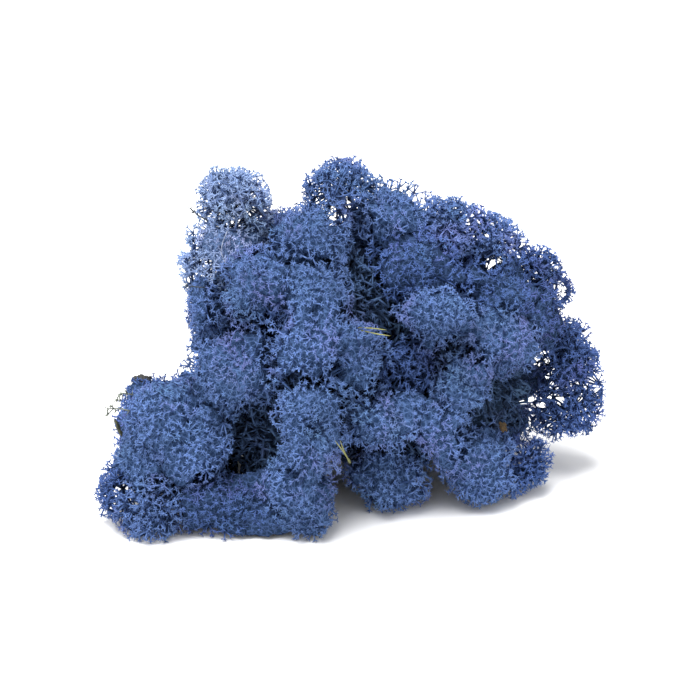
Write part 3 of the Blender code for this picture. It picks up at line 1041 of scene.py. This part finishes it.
@dataclass
class OldStalks(Growth):
    """The dead lower stalks that every head grows on: crossing stalks and bare twigs over a tangle whose pits
    are painted dark as shade.
    """

    spacing: float = 3.0
    stalks: Web = Web(2.3, 0.0, 6.5, 0.46, least_sky=0.01)
    dark_depth: float = 3.2
    star_depth: float = 0.6
    spacing_scale: float = 1.35
    end_depth: float = -0.6
    bend_depth: float = 1.8
    foot_depth: float = 4.5
    wander: float = 0.9
    most_past_twigs: float = 0.5
    thorn_places: Pair = (0.1, 0.5)
    thorn_lengths: Pair = (1.4, 2.8)

    def build(self) -> Shell:
        """The whole bunch.

        Returns:
            The tangle, the stalks over it, and twigs that run out of them and carry two thorns each.
        """
        area = 4 * math.pi * float(np.cbrt(self.envelope.half.prod())) ** 2
        ways = jittered(spiral(int(area / self.spacing**2)), 0.25, self.rng)
        ends = self.outside(ways, self.end_depth)
        shown = self.in_sight(ends, self.stalks.least_sky)[0] & (ends[:, 2] > self.lowest_stalk)
        shown &= self.clump.outness(self.name, ends)[2] < self.most_past_twigs
        ways, ends = ways[shown], ends[shown]
        shells = [self.tangle(self.dark_depth), self.web(self.stalks)[0]]
        shells.extend(self.star_layer(self.star_depth)[0])
        if not len(ways):
            return Shell.joined(shells)
        bends = self.outside(ways, self.bend_depth) + self.rng.normal(0, self.wander, ends.shape)
        feet = self.outside(unit(ways + self.rng.normal(0, 0.25, ways.shape)), self.foot_depth)
        ends = ends + self.rng.normal(0, self.wander, ends.shape)
        shells.append(self.straight(feet, bends, (0.6, 0.45), (0.0, 0.3)))
        shells.append(self.straight(bends, ends, (0.45, 0.0), (0.3, 0.8)))
        for share in self.thorn_places:
            start = bends + (ends - bends) * share
            way = unit(unit(ends - bends) + self.rng.normal(0, 0.7, ends.shape))
            tips = start + way * self.rng.uniform(*self.thorn_lengths, len(ends))[:, None]
            shells.append(self.straight(start, tips, (0.3, 0.0), (0.4, 1.0)))
        return Shell.joined(shells)


@dataclass
class NeedlePair:
    """Two dry pine needles in one sheath, in the place of a CAD needle."""

    node: str
    rng: Rng
    width: float = 0.18
    spread: float = 0.085
    bow: float = 0.5
    stations: int = 11
    sheath: Floats = field(default_factory=lambda: np.array([0.3, 0.42, 0.3]))

    def build(self) -> Shell:
        """Both needles and the sheath.

        A needle is the straight line between the CAD needle's ends, turned a little to one side and bowed
        by the sine of the way along. It thins to a point over its last third.

        Returns:
            The needles and the sheath as one shell.
        """
        foot, tip = ends_of(self.node)
        axis = unit(tip - foot)
        side, lift = (way[0] for way in cross_ways(axis[None], np.array([0.6])))
        along = np.linspace(0, 1, self.stations)[:, None]
        width = self.width * np.minimum(1.0, 0.25 + 2.2 * (1 - along[:, 0]))
        paths = []
        for sign, share in ((1.0, 0.96), (-1.0, 0.84)):
            way = share * np.linalg.norm(tip - foot) * unit(axis + sign * self.spread * side)
            paths.append(foot + along * way + sign * self.bow * np.sin(math.pi * along) * lift)
        widths, ages = (np.tile(row, (2, 1)) for row in (width, along[:, 0]))
        needles = limbs(np.stack(paths), widths, ages, np.zeros(2), pointed=True, sides=6)
        cover = foot + np.array([[-0.5], [0.3], [1.3]]) * axis
        sheath = limbs(cover[None], self.sheath[None], np.zeros((1, 3)), np.zeros(1), pointed=False, sides=7)
        return Shell.joined([needles, sheath])


@dataclass
class Flake:
    """A thin ragged flake of bark, split into layers at its edge."""

    middle: Floats
    axes: Floats
    half: Floats
    rng: Rng
    rows: int = 12
    columns: int = 40

    def build(self) -> Shell:
        """The flake: a ball flattened along its last axis, with a ragged outline and a wavy face.

        The outline's radius is 1 plus a sum of sines of the turn, and the face is raised by sines of the
        place. Each pole is one point, and the last column joins the first.

        Returns:
            The flake's shell.
        """
        height, turn = ball_grid(self.rows, self.columns)
        waves = np.arange(2, 12)
        depths = self.rng.normal(0, 0.15, len(waves)) / waves**0.6
        edge = 1 + depths @ np.sin(waves[:, None] * turn[0] + self.rng.uniform(0, 7, (len(waves), 1)))
        local = ball_points(np.sin(height) ** 0.6 * edge, turn, np.cos(height))
        local[:, 2] = local[:, 2] * 0.8 + 0.35 * np.sin(5 * local[:, 0] + 2) * np.sin(4 * local[:, 1])
        points = self.middle + (local * self.half) @ self.axes
        ages = 0.5 + 0.5 * np.sin(9 * local[:, 0]) * np.sin(7 * local[:, 1] + 1)
        return Shell.of(points, ball_triangles(self.rows, self.columns), ages)

    @classmethod
    def of(cls, node: str, rng: Rng) -> "Flake":
        """The flake that stands for a CAD node.

        Args:
            node: the node's name.
            rng: the seeded source of the flake's raggedness.

        Returns:
            A flake with the node's middle, its own axes and its sizes along them.
        """
        points = points_of(node)
        middle = points.mean(axis=0)
        axes = np.linalg.svd(points - middle, full_matrices=False)[2]
        axes[2] = np.cross(axes[0], axes[1])
        local = (points - middle) @ axes.T
        middle = middle + (local.max(axis=0) + local.min(axis=0)) / 2 @ axes
        return cls(middle, axes, np.ptp(local, axis=0) / 2, rng)


@dataclass
class Twig:
    """A bare or dead branch that starts on the clump's outside: a bent stem, side twigs and a few stars."""

    clump: Clump
    rng: Rng
    seen: Pair
    bends: tuple[Triple, ...]
    width: float = 0.34
    side_twigs: int = 2
    stars: int = 1
    star_spread: float = 0.0
    star_size: float = 1.3

    def build(self) -> Shell:
        """The whole branch.

        Returns:
            A stem that runs from its foot through its bends, side twigs that leave it at them, and stars.
        """
        foot = self.clump.seen_at(*self.seen)
        inward = foot - self.clump.view.back * 1.2
        path = np.concatenate([[inward, foot], foot + np.array(self.bends)])
        shells = [chain(path, np.linspace(self.width, self.width * 0.6, len(path)), 0.3, 5)]
        start = path[1:-1][self.rng.integers(0, len(path) - 2, self.side_twigs)]
        end_way = unit(path[-1] - path[-2])
        way = unit(end_way + self.rng.normal(0, 0.6, start.shape))
        shells.append(straight(start, start + way * 2.2, (self.width * 0.6, 0.0), (0.3, 0.8), self.rng))
        lengths = {"arm_length": 1.2, "fork_length": 0.72, "arm_width": 0.2, "fork_width": 0.15}
        habit = StarHabit(**{name: length * self.star_size for name, length in lengths.items()})
        centres = path[-1] + self.rng.normal(0, 1, (self.stars, 3)) * self.star_spread
        axes = unit(end_way + self.rng.normal(0, 0.3, centres.shape))
        ends = np.repeat(path[-1:], self.stars, axis=0)
        shells.append(straight(ends, centres + 0.01, (0.22, 0.2), (0.4, 0.7), self.rng))
        shells.extend(habit.stars(centres, axes, self.rng))
        return Shell.joined(shells)


@dataclass
class Curl:
    """A branch that curls over in an arch from one head to the next, fringed with stars."""

    clump: Clump
    rng: Rng
    seen: tuple[Pair, ...]
    depth: float
    width: float = 0.75
    fringe: float = 1.5
    spacing: float = 1.15
    steps: int = 24
    stars_a_step: int = 14

    def build(self) -> Shell:
        """The arch.

        Returns:
            A stem along a smooth line through the seen points, all at one depth, with stars round it.
        """
        view = self.clump.view
        base = np.array([view.place(*point) for point in self.seen]) + view.back * self.depth
        steps = np.linspace(0, len(base) - 1, self.steps)
        path = np.stack([np.interp(steps, np.arange(len(base)), base[:, axis]) for axis in range(3)], axis=1)
        path[1:-1] = (path[:-2] + 2 * path[1:-1] + path[2:]) / 4
        stem = chain(path, np.full(len(path), self.width), 0.4, 6)
        around = np.repeat(path, self.stars_a_step, axis=0)
        way = unit(around - base.mean(axis=0))
        way = unit(way * 0.5 + self.rng.normal(0, 0.8, way.shape))
        centres = around + way * (self.width + self.rng.uniform(0.1, 1.0, (len(way), 1)) * self.fringe)
        picked = spaced(centres, self.spacing, self.rng)
        centres, way, around = centres[picked], way[picked], around[picked]
        stems = straight(around, centres, (0.3, 0.22), (0.4, 0.8), self.rng)
        stars = StarHabit(arm_length=0.95, fork_length=0.6).stars(centres, way, self.rng)
        return Shell.joined([stem, stems, *stars])


@dataclass(frozen=True)
class LichenFinish:
    """Dyed dried lichen: matt and porous, so it takes dye unevenly and has no shine of its own.

    The eye sees pale tips over darker stems: the colour runs from the dark old wood deep inside to the pale
    tips, partly real and partly painted shade of the depth. Patches turned lilac, teal or grey.
    """

    name: str
    old: str
    stem: str
    tip: str
    lilac: str
    teal: str
    roughness: float = 0.85

    PATCH_MM = 13.0
    SPECK_MM = 1.5
    DYE_MM = 32.0

    def material(self) -> bpy.types.Material:
        """Makes the finish.

        Returns:
            The Blender material.
        """
        material, tree, shader = new_material(self.name)
        place = add(tree, "ShaderNodeTexCoord", "Object")
        age = add(tree, "ShaderNodeAttribute", "Fac", attribute_name=AGE_AND_DEPTH_SHADE)
        # Painted shade, partly: the ramp runs from dark old wood deep inside to pale tips.
        colour = add(tree, "ShaderNodeValToRGB", "Color", {"Fac": age})
        set_stops(colour.node, [(0.0, self.old), (0.35, self.stem), (0.8, self.tip)])
        for shade, seed, low, high, strength in (
            (self.lilac, 3.0, 0.52, 0.70, 0.55),
            (self.teal, 11.0, 0.54, 0.72, 0.45),
        ):
            grain = {"Vector": place, "W": seed, "Scale": per_mm(self.PATCH_MM), "Detail": 3.0}
            patch = add(tree, "ShaderNodeTexNoise", "Fac", grain, noise_dimensions="4D")
            limits = {"Value": patch, "From Min": low, "From Max": high, "To Min": 0.0, "To Max": strength}
            amount = add(tree, "ShaderNodeMapRange", "Result", limits)
            aged = add(tree, "ShaderNodeMath", 0, {0: amount, 1: age}, operation="MULTIPLY")
            shades = {"Factor": aged, "A": colour, "B": linear(shade)}
            colour = add(tree, "ShaderNodeMix", "Result", shades, data_type="RGBA")
        grains, tones = [], []
        for size, detail, low, high, dark, pale in (
            (self.SPECK_MM, 4.0, 0.3, 0.7, 0.8, 1.2),
            (self.DYE_MM, 2.0, 0.36, 0.64, 0.84, 1.18),
        ):
            grain = {"Vector": place, "Scale": per_mm(size), "Detail": detail}
            grains.append(add(tree, "ShaderNodeTexNoise", "Fac", grain))
            limits = {"Value": grains[-1], "From Min": low, "From Max": high, "To Min": dark, "To Max": pale}
            tones.append(add(tree, "ShaderNodeMapRange", "Result", limits))
        tone = add(tree, "ShaderNodeMath", 0, {0: tones[0], 1: tones[1]}, operation="MULTIPLY")
        colour = add(tree, "ShaderNodeHueSaturation", "Color", {"Value": tone, "Color": colour})
        relief = add(tree, "ShaderNodeBump", 0, {"Height": grains[0], "Strength": 0.5, "Distance": 0.1 * MM})
        coat(shader, colour, relief, self.roughness, 0.2)
        return material


@dataclass(frozen=True)
class TangleFinish:
    """The branches under the stars, too many and too deep to be made one by one: a net over pits painted
    dark.

    The eye sees two nets of dim strands, one over the other, with nearly black blue between them. The dark
    pits are painted shade of the holes, and the lower net is painted dimmer, as in the upper one's shade.
    """

    name: str
    shaded_pit: str
    strand: str
    roughness: float = 0.9

    NET_MM = 1.9
    BEND_MM = 2.4

    def material(self) -> bpy.types.Material:
        """Makes the finish.

        Returns:
            The Blender material.
        """
        material, tree, shader = new_material(self.name)
        place = add(tree, "ShaderNodeTexCoord", "Object")
        waves = {"Vector": place, "Scale": per_mm(self.BEND_MM), "Detail": 2.0}
        bend = add(tree, "ShaderNodeTexNoise", "Color", waves)
        shift = {0: bend, 1: (0.9 * MM,) * 3, 2: place}
        bent = add(tree, "ShaderNodeVectorMath", 0, shift, operation="MULTIPLY_ADD")
        heights = []
        for share, width in ((1.0, 0.16), (0.62, 0.13)):
            cells = {"Vector": bent, "Scale": per_mm(self.NET_MM * share)}
            edge = add(tree, "ShaderNodeTexVoronoi", "Distance", cells, feature="DISTANCE_TO_EDGE")
            limits = {"Value": edge, "From Min": 0.0, "From Max": width, "To Min": 1.0, "To Max": 0.0}
            heights.append(add(tree, "ShaderNodeMapRange", "Result", limits))
        # Painted shade: the lower net is dimmed towards the pit colour, as if in the upper net's shade.
        lower = add(tree, "ShaderNodeMath", 0, {0: heights[1], 1: 0.55}, operation="MULTIPLY")
        height = add(tree, "ShaderNodeMath", 0, {0: heights[0], 1: lower}, operation="MAXIMUM")
        # Painted shade: the pit colour between the strands stands for the shade deep in the holes.
        shades = {"Factor": height, "A": linear(self.shaded_pit), "B": linear(self.strand)}
        colour = add(tree, "ShaderNodeMix", "Result", shades, data_type="RGBA")
        relief = add(tree, "ShaderNodeBump", 0, {"Height": height, "Strength": 0.8, "Distance": 0.4 * MM})
        coat(shader, colour, relief, self.roughness, 0.1)
        return material


@dataclass(frozen=True)
class ScrapFinish:
    """Dry litter: dead plant fibre, faded unevenly in the weather, matt and finely grained.

    The eye sees a base colour that turns to a second one along the piece, broken by fine darker grain.
    """

    name: str
    pale: str
    dark: str
    grain_mm: float
    roughness: float = 0.75

    def material(self) -> bpy.types.Material:
        """Makes the finish.

        Returns:
            The Blender material.
        """
        material, tree, shader = new_material(self.name)
        place = add(tree, "ShaderNodeTexCoord", "Object")
        age = add(tree, "ShaderNodeAttribute", "Fac", attribute_name=AGE_AND_DEPTH_SHADE)
        fibres = {"Vector": place, "Scale": per_mm(self.grain_mm), "Detail": 5.0}
        grain = add(tree, "ShaderNodeTexNoise", "Fac", fibres)
        mixed = add(tree, "ShaderNodeMath", 0, {0: grain, 1: age}, operation="ADD")
        share = add(tree, "ShaderNodeMapRange", "Result", {"Value": mixed, "From Min": 0.4, "From Max": 1.5})
        shades = {"Factor": share, "A": linear(self.dark), "B": linear(self.pale)}
        colour = add(tree, "ShaderNodeMix", "Result", shades, data_type="RGBA")
        relief = add(tree, "ShaderNodeBump", 0, {"Height": grain, "Strength": 0.6, "Distance": 0.15 * MM})
        coat(shader, colour, relief, self.roughness, 0.35)
        return material


def per_mm(size: float) -> float:
    """The scale of a pattern whose usual size is given in millimetres."""
    return 1 / (size * MM)


def linear(colour: str) -> tuple[float, float, float, float]:
    """An sRGB colour made linear.

    Args:
        colour: a hex value, with its sign in front.

    Returns:
        The linear values with full alpha.
    """
    parts = [int(colour[place : place + 2], 16) / 255 for place in (1, 3, 5)]
    values = [part / 12.92 if part <= 0.04045 else ((part + 0.055) / 1.055) ** 2.4 for part in parts]
    return (values[0], values[1], values[2], 1.0)


def new_material(name: str) -> tuple[bpy.types.Material, bpy.types.NodeTree, bpy.types.Node]:
    """A new material.

    Args:
        name: what the real one is.

    Returns:
        The material, its node tree and its one shader.
    """
    material = bpy.data.materials.new(name)
    material.use_nodes = True
    tree = material.node_tree
    return material, tree, tree.nodes["Principled BSDF"]


def add(
    tree: bpy.types.NodeTree,
    kind: str,
    output: str | int,
    inputs: dict[str | int, Any] | None = None,
    **settings: Any,
) -> Socket:
    """Adds a node.

    Args:
        tree: the material's node tree.
        kind: the node's type.
        output: the output that is wanted, by name or number.
        inputs: for each input, by name or number, an output to link or a value to set.
        settings: the node's own properties.

    Returns:
        The wanted output.
    """
    node = tree.nodes.new(kind)
    for key, value in settings.items():
        setattr(node, key, value)
    for key, value in (inputs or {}).items():
        # Some nodes have a socket of one name for each kind of data, and only the one in use is enabled.
        named = [socket for socket in node.inputs if socket.enabled and socket.name == key]
        socket = named[0] if named else node.inputs[key]
        if isinstance(value, Socket):
            tree.links.new(value, socket)
        else:
            socket.default_value = value
    return node.outputs[output]


def coat(shader: bpy.types.Node, colour: Socket, relief: Socket, roughness: float, shine: float) -> None:
    """Gives a shader its colour, its relief and its dull shine.

    Args:
        shader: the material's one shader.
        colour: the output that colours it.
        relief: the output that bends its normals.
        roughness: how matt it is.
        shine: how much light its surface throws back.
    """
    tree = shader.id_data
    tree.links.new(colour, shader.inputs["Base Color"])
    tree.links.new(relief, shader.inputs["Normal"])
    shader.inputs["Roughness"].default_value = roughness
    shader.inputs["Specular IOR Level"].default_value = shine


def set_stops(ramp: bpy.types.Node, stops: list[tuple[float, str]]) -> None:
    """Gives a colour ramp its stops.

    Args:
        ramp: the ramp's node.
        stops: each stop's place and its sRGB hex colour.
    """
    elements = ramp.color_ramp.elements
    while len(elements) < len(stops):
        elements.new(0.5)
    for element, (place, colour) in zip(elements, stops):
        element.position = place
        element.color = linear(colour)


def placed(name: str, data: bpy.types.ID) -> bpy.types.Object:
    """A new object in the scene.

    Args:
        name: its name.
        data: the mesh, the light or the camera that it holds.

    Returns:
        The object, at the origin.
    """
    thing = bpy.data.objects.new(name, data)
    bpy.context.scene.collection.objects.link(thing)
    return thing


@dataclass
class Studio:
    """The pale table, the soft light and the camera at the photograph's angle, in millimetres."""

    view: View
    lens: float = 85.0
    sensor: float = 36.0
    lamp_place: Triple = (-150.0, -120.0, 680.0)
    lamp_width: float = math.radians(40)
    lamp_strength: float = 5.1
    table: float = 20000.0
    furthest_seen: float = 40000.0

    def build(self) -> None:
        """Makes the table, the lights, the world and the camera."""
        self.build_table()
        self.build_world()
        self.build_light()
        self.build_camera()
        bpy.context.scene.view_settings.view_transform = "Standard"

    def build_table(self) -> None:
        """A plain pale table top under the clump."""
        half = self.table / 2 * MM
        mesh = bpy.data.meshes.new("table_top")
        corners = [(-half, -half, 0), (half, -half, 0), (half, half, 0), (-half, half, 0)]
        mesh.from_pydata(corners, [], [(0, 1, 2, 3)])
        material, _, shader = new_material("matt white paper")
        shader.inputs["Base Color"].default_value = linear("#F4F4F4")
        shader.inputs["Roughness"].default_value = 0.9
        mesh.materials.append(material)
        placed("table_top", mesh)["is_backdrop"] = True

    def build_world(self) -> None:
        """An even white world, which gives most of the light."""
        world = bpy.data.worlds.new("white studio")
        bpy.context.scene.world = world
        world.use_nodes = True
        background = world.node_tree.nodes["Background"]
        background.inputs["Color"].default_value = (1.0, 1.0, 1.0, 1.0)
        background.inputs["Strength"].default_value = 1.0

    def build_light(self) -> None:
        """One broad lamp far above, a little in front and to the left, as wide as a large soft box."""
        light = bpy.data.lights.new("overhead_lamp", "SUN")
        light.angle = self.lamp_width
        light.energy = self.lamp_strength
        self.aim(placed("overhead_lamp", light), np.array(self.lamp_place), np.zeros(3))

    def aim(self, thing: bpy.types.Object, place: Floats, target: Floats) -> None:
        """Puts a lamp or a camera at a place so that its own -Z looks at the target.

        Args:
            thing: the lamp or the camera.
            place: where it goes.
            target: what it looks at.
        """
        back = unit(place - target)
        right = unit(np.cross([0.0, 0.0, 1.0], back))
        up = np.cross(back, right)
        matrix = np.eye(4)
        matrix[:3, :3] = np.stack([right, up, back], axis=1)
        matrix[:3, 3] = place * MM
        thing.matrix_world = Matrix(matrix.tolist())

    def build_camera(self) -> None:
        """The camera, looking down a little from the front."""
        data = bpy.data.cameras.new("camera")
        data.lens = self.lens
        data.sensor_width = self.sensor
        data.clip_end = self.furthest_seen * MM
        camera = placed("camera", data)
        self.aim(camera, self.view.camera, np.array(self.view.target))
        bpy.context.scene.camera = camera


LEFT, RIGHT, UP = (-1.0, 0.0, 0.0), (1.0, 0.0, 0.0), (0.0, 0.0, 1.0)

# How far each growth is drawn in or let out, so that the outline and the gaps are the real clump's.
TRIMS = {
    "old_stalks_5": (Trim(-4.0, (-0.6, 0.0, -0.8)),),
    "old_stalks_1": (Trim(-3.5, (-0.1, -0.3, -0.95)),),
    "old_stalks_2": (Trim(-3.0, UP), Trim(-2.5, (-0.2, -0.3, -0.9))),
    "old_stalks_3": (Trim(-5.0, (0.8, -0.4, -0.45)), Trim(-3.0, (-0.7, -0.4, -0.6))),
    "old_stalks_4": (Trim(-6.5, (-0.35, -0.25, -0.9)),),
    "back_06": (Trim(6.5, LEFT),),
    "back_10": (Trim(5.0, UP), Trim(4.0, RIGHT)),
    "back_11": (Trim(4.5, UP), Trim(2.0, LEFT)),
    "back_12": (Trim(3.0, UP), Trim(3.0, RIGHT)),
    "left_knob": (Trim(1.8, LEFT),),
    "left_shoulder": (Trim(0.8, LEFT), Trim(1.4, (0.4, 0.0, 0.9))),
    "brow_left": (Trim(2.4, (0.2, -0.3, -0.9)),),
    "tower_waist": (Trim(1.6, LEFT),),
    "left_foot_outer": (Trim(0.9, LEFT),),
    "ridge_2": (Trim(0.7, UP),),
    "ridge_3": (Trim(0.9, (0.6, 0.0, 0.8)),),
    "left_wisp": (Trim(1.0, LEFT),),
    "left_cushion": (Trim(2.0, LEFT), Trim(0.8, UP)),
    "left_hip": (Trim(1.4, LEFT),),
    "left_cushion_front": (Trim(2.5, (0.9, 0.0, -0.4)),),
    "ledge": (Trim(3.0, (-0.35, -0.3, -0.9)),),
    "breast_right": (Trim(1.4, RIGHT),),
    "middle_recess": (Trim(2.2, (0.2, -0.9, 0.4)),),
    "middle_cushion": (Trim(1.6, (0.4, 0.0, 0.9)),),
    "middle_knob": (Trim(1.4, (-0.7, 0.0, 0.7)),),
    "right_knob": (Trim(2.2, (-0.8, 0.0, 0.6)),),
    "right_cushion": (Trim(1.6, (-0.3, -0.2, -0.9)),),
    "skirt_left": (Trim(1.6, UP),),
    "skirt_right": (Trim(2.6, UP),),
    "column_foot": (Trim(3.0, RIGHT),),
    "right_foot": (Trim(1.2),),
    "right_foot_outer": (Trim(1.8),),
    "ridge_4": (Trim(1.5),),
    "right_shoulder": (Trim(1.8, RIGHT),),
    "right_side": (Trim(0.8, (0.8, 0.0, 0.6)),),
    "tower_top": (Trim(-1.4, (-0.5, 0.0, 0.85)),),
    "crest": (Trim(-1.8, (0.65, 0.0, 0.75)),),
}

# Where the photographed clump lets the white behind it through.
WINDOWS = tuple(
    Window(across, up, radius)
    for across, up, radius in (
        (44.7, 26.6, 1.6), (-8.4, 47.8, 0.9), (-5.0, 44.4, 0.6), (-0.9, 46.3, 0.6), (-2.5, 41.9, 0.7),
        (-5.2, 41.0, 0.6), (-11.9, 54.4, 0.5), (-30.6, 44.1, 0.5), (-28.4, 41.6, 0.5), (60.0, -17.5, 1.0),
        (65.9, -16.0, 0.7), (53.6, -16.4, 0.9), (57.8, -20.8, 0.5), (75.6, -8.9, 0.8), (72.0, -16.0, 0.6),
        (63.0, -24.0, 0.6), (-71.0, -44.0, 0.8), (-67.0, -48.0, 0.6), (-51.0, 31.0, 0.7),
    )
)

# The heads that light comes through or into. The others are dense.
OPEN_HEADS = {
    Form.LACY: ("left_wisp", "left_foot_outer", "crest", "ridge_3", "right_overhang"),
    Form.LOOSE: (
        "right_side",
        "tower_top",
        "ridge_2",
        "ridge_4",
        "right_foot_outer",
        "left_foot_front",
        "middle_recess",
    ),
}


BACK_SPACING = 1.2  # the stars on the back stand this much further apart


def slots_of_nodes() -> dict[str, str]:
    """The material slot of each CAD node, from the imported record."""
    return {part["node"]: part["material_slot"] for part in frame["record"]["subparts"]}


def form_of(head: str) -> Form:
    """How close a head's branches stand, by the head's node."""
    forms = (form for form, heads in OPEN_HEADS.items() if head.removeprefix("head_") in heads)
    return next(forms, Form.DENSE)


def show(name: str, shell: Shell, finishes: Finishes, slot: str, node: str | None = None) -> int:
    """Makes a finished piece that rides with the clump.

    Args:
        name: the piece's name.
        shell: its surfaces.
        finishes: its materials, in the order of the layers.
        slot: the record's material slot; not used.
        node: the CAD node that it stands for, if it stands for one.

    Returns:
        How many triangles it has.
    """
    piece = placed(name, shell.mesh(name))
    for finish in finishes:
        piece.data.materials.append(finish)
    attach(piece, BODY)
    if node:
        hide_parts(node)
    log.info("%s: %d triangles", name, len(shell.triangles))
    return len(shell.triangles)


def lichen_finishes() -> dict[str, Finishes]:
    """Makes the lichen's finishes.

    Returns:
        For each slot, the finish of its branches and that of its tangle.
    """
    branches = {
        "moss_blue": LichenFinish("dyed lichen, blue", "#1E3052", "#384F7C", "#617CB2", "#7B76B4", "#5A86A2"),
        # moss_pale: paler colours for thin heads lit from behind, a painted backlight glow.
        "moss_pale": LichenFinish(
            "dyed lichen, paled by painted backlight", "#2C3F60", "#586E9A", "#90A6CE", "#A09CC4", "#8CAABC"
        ),
        # moss_deep: a darker blue for the heads that sit in shade, painted shade.
        "moss_deep": LichenFinish(
            "dyed lichen, darkened for painted shade", "#192A48", "#2E4470", "#506AA4", "#6460A0", "#48728C"
        ),
        "old_stalk": LichenFinish("dead stalks", "#1D2A42", "#2F4260", "#4A648E", "#4E4674", "#3E5C5E"),
    }
    tangles = {
        # Each tangle's pit colour is painted shade of the holes between its strands.
        "moss_blue": TangleFinish("tangled lichen, blue", "#243858", "#506A98"),
        # Painted light: the moss_pale tangle is paled as a backlight glow.
        "moss_pale": TangleFinish("tangled lichen, paled by painted backlight", "#33486A", "#7088B4"),
        # Painted shade: the moss_deep tangle is darkened for heads in shade.
        "moss_deep": TangleFinish("tangled lichen, darkened for painted shade", "#1D2F48", "#425884"),
        "old_stalk": TangleFinish("tangled dead stalks", "#1B293E", "#304460"),
    }
    return {slot: [branches[slot].material(), tangles[slot].material()] for slot in branches}


def grow_clump(clump: Clump, slots: dict[str, str], finishes: dict[str, Finishes]) -> int:
    """Builds every head and every bunch of old stalks.

    Args:
        clump: the clump that they share.
        slots: each CAD node's material slot.
        finishes: each slot's materials.

    Returns:
        How many triangles they have.
    """
    total = 0
    for number, name in enumerate(sorted(clump.envelopes)):
        rng = np.random.default_rng((SEED, number))
        if name.startswith("head"):
            scale = BACK_SPACING if "_back_" in name else 1.0
            shell = Head(name, clump, rng, form=form_of(name), spacing_scale=scale).build()
        else:
            shell = OldStalks(name, clump, rng).build()
        shell = shell.kept_inside(clump.low, clump.high)
        piece = name.replace("head_", "lichen_", 1) + "_grown"
        total += show(piece, shell, finishes[slots[name]], slots[name], name)
    return total


def add_litter(clump: Clump, lichen: dict[str, Finishes]) -> int:
    """Builds the needles, the bark and the smaller scraps that are caught among the heads.

    Args:
        clump: the clump that carries them.
        lichen: each lichen slot's materials.

    Returns:
        How many triangles they have.
    """
    rng = np.random.default_rng(SEED)
    needle, bark, crumb, rust, grey, wood, pale = (
        ([ScrapFinish(*words).material()], slot)
        for slot, *words in (
            ("pine_needle", "dry pine needle", "#9A9A5E", "#585C38", 0.8),
            ("bark", "weathered bark, olive", "#3A3E2A", "#13150F", 0.6),
            ("bark", "crumb of old bark, dark", "#3C3C38", "#141518", 0.6),
            ("bark", "bark flake, yellow brown", "#524024", "#281C12", 0.6),
            ("old_stalk", "dead branch ends, grey", "#84897E", "#4A5250", 1.0),
            ("old_stalk", "bare dead twig", "#4A525A", "#20262C", 0.8),
            ("moss_pale", "bare stalk, washed out", "#A9AFC0", "#6F7A92", 1.0),
        )
    )
    facing = unit(np.array([[0.2, -0.8, 0.5]]))
    plate_axes = np.concatenate([*cross_ways(facing, np.array([0.5])), facing])
    plate = clump.seen_at(47.8, -24.0)
    lump = clump.seen_at(-65.0, -8.0) - np.array([0.0, 0.0, 1.3])
    twig = partial(Twig, clump, rng)
    forked_twig = partial(twig, width=0.3, side_twigs=3, stars=2, star_spread=0.9, star_size=1.0)
    grey_twig = partial(twig, width=0.3, side_twigs=3, stars=4, star_spread=0.9)
    droop = ((-1.3, -0.9, -3.0), (-1.9, -1.4, -5.9), (-0.9, -1.6, -8.6))
    arch = ((60.5, 22.6), (65.0, 23.4), (67.8, 21.8), (69.3, 19.1), (68.6, 16.4), (66.0, 14.8))
    pieces = [
        ("dry_needles_upper", NeedlePair("pine_needle_1", rng), needle),
        ("dry_needles_lower", NeedlePair("pine_needle_2", rng), needle),
        ("olive_bark_flake", Flake.of("bark_flake", rng), bark),
        ("dark_crumb", Flake(lump, np.eye(3), np.array([2.9, 1.5, 1.5]), rng), crumb),
        ("brown_flake", Flake(plate, plate_axes, np.array([1.7, 1.2, 0.4]), rng), rust),
        ("forked_twig", forked_twig((-44.6, 40.5), ((-2.6, -0.3, 1.6), (-4.6, -0.5, 3.6))), wood),
        ("thin_twig", twig((-45.6, 19.5), ((-2.6, -0.2, 0.3), (-5.0, -0.2, 0.6)), width=0.22), wood),
        ("pale_stalk", twig((-38.4, 36.9), droop, width=0.2, side_twigs=0), pale),
        ("grey_ends_upper", grey_twig((-68.0, -14.0), ((-2.2, -0.2, 0.6), (-3.8, -0.3, 0.4))), grey),
        ("grey_ends_lower", grey_twig((-69.0, -19.0), ((-2.2, -0.2, 0.8), (-4.4, -0.3, 0.9))), grey),
        # The curl takes the moss_deep lichen finish, darkened as painted shade.
        ("right_curl", Curl(clump, rng, arch, depth=-6.0), (lichen["moss_deep"], "moss_deep")),
    ]
    stands_for = {
        "dry_needles_upper": "pine_needle_1",
        "dry_needles_lower": "pine_needle_2",
        "olive_bark_flake": "bark_flake",
    }
    total = 0
    for name, maker, (finishes, slot) in pieces:
        shell = maker.build().kept_inside(clump.low, clump.high)
        total += show(name, shell, finishes, slot, stands_for.get(name))
    return total


def main() -> None:
    """Builds the studio and every piece, in order."""
    logging.basicConfig(level=logging.INFO, format="%(message)s")
    cad_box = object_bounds()
    view = View()
    Studio(view).build()
    slots = slots_of_nodes()
    low, high = (np.array(corner) / MM for corner in cad_box)
    grown = [name for name in slots if name.startswith(("head", "old"))]
    envelopes = {name: Envelope.of(name, TRIMS.get(name.removeprefix("head_"), ())) for name in grown}
    clump = Clump(envelopes, low, high, view, WINDOWS)
    finishes = lichen_finishes()
    total = grow_clump(clump, slots, finishes) + add_litter(clump, finishes)
    log.info("all: %d triangles", total)
    boxes = {"cad": cad_box, "visual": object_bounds()}
    {key: [list(corner) for corner in box] for key, box in boxes.items()}


if __name__ == "__main__":
    main()
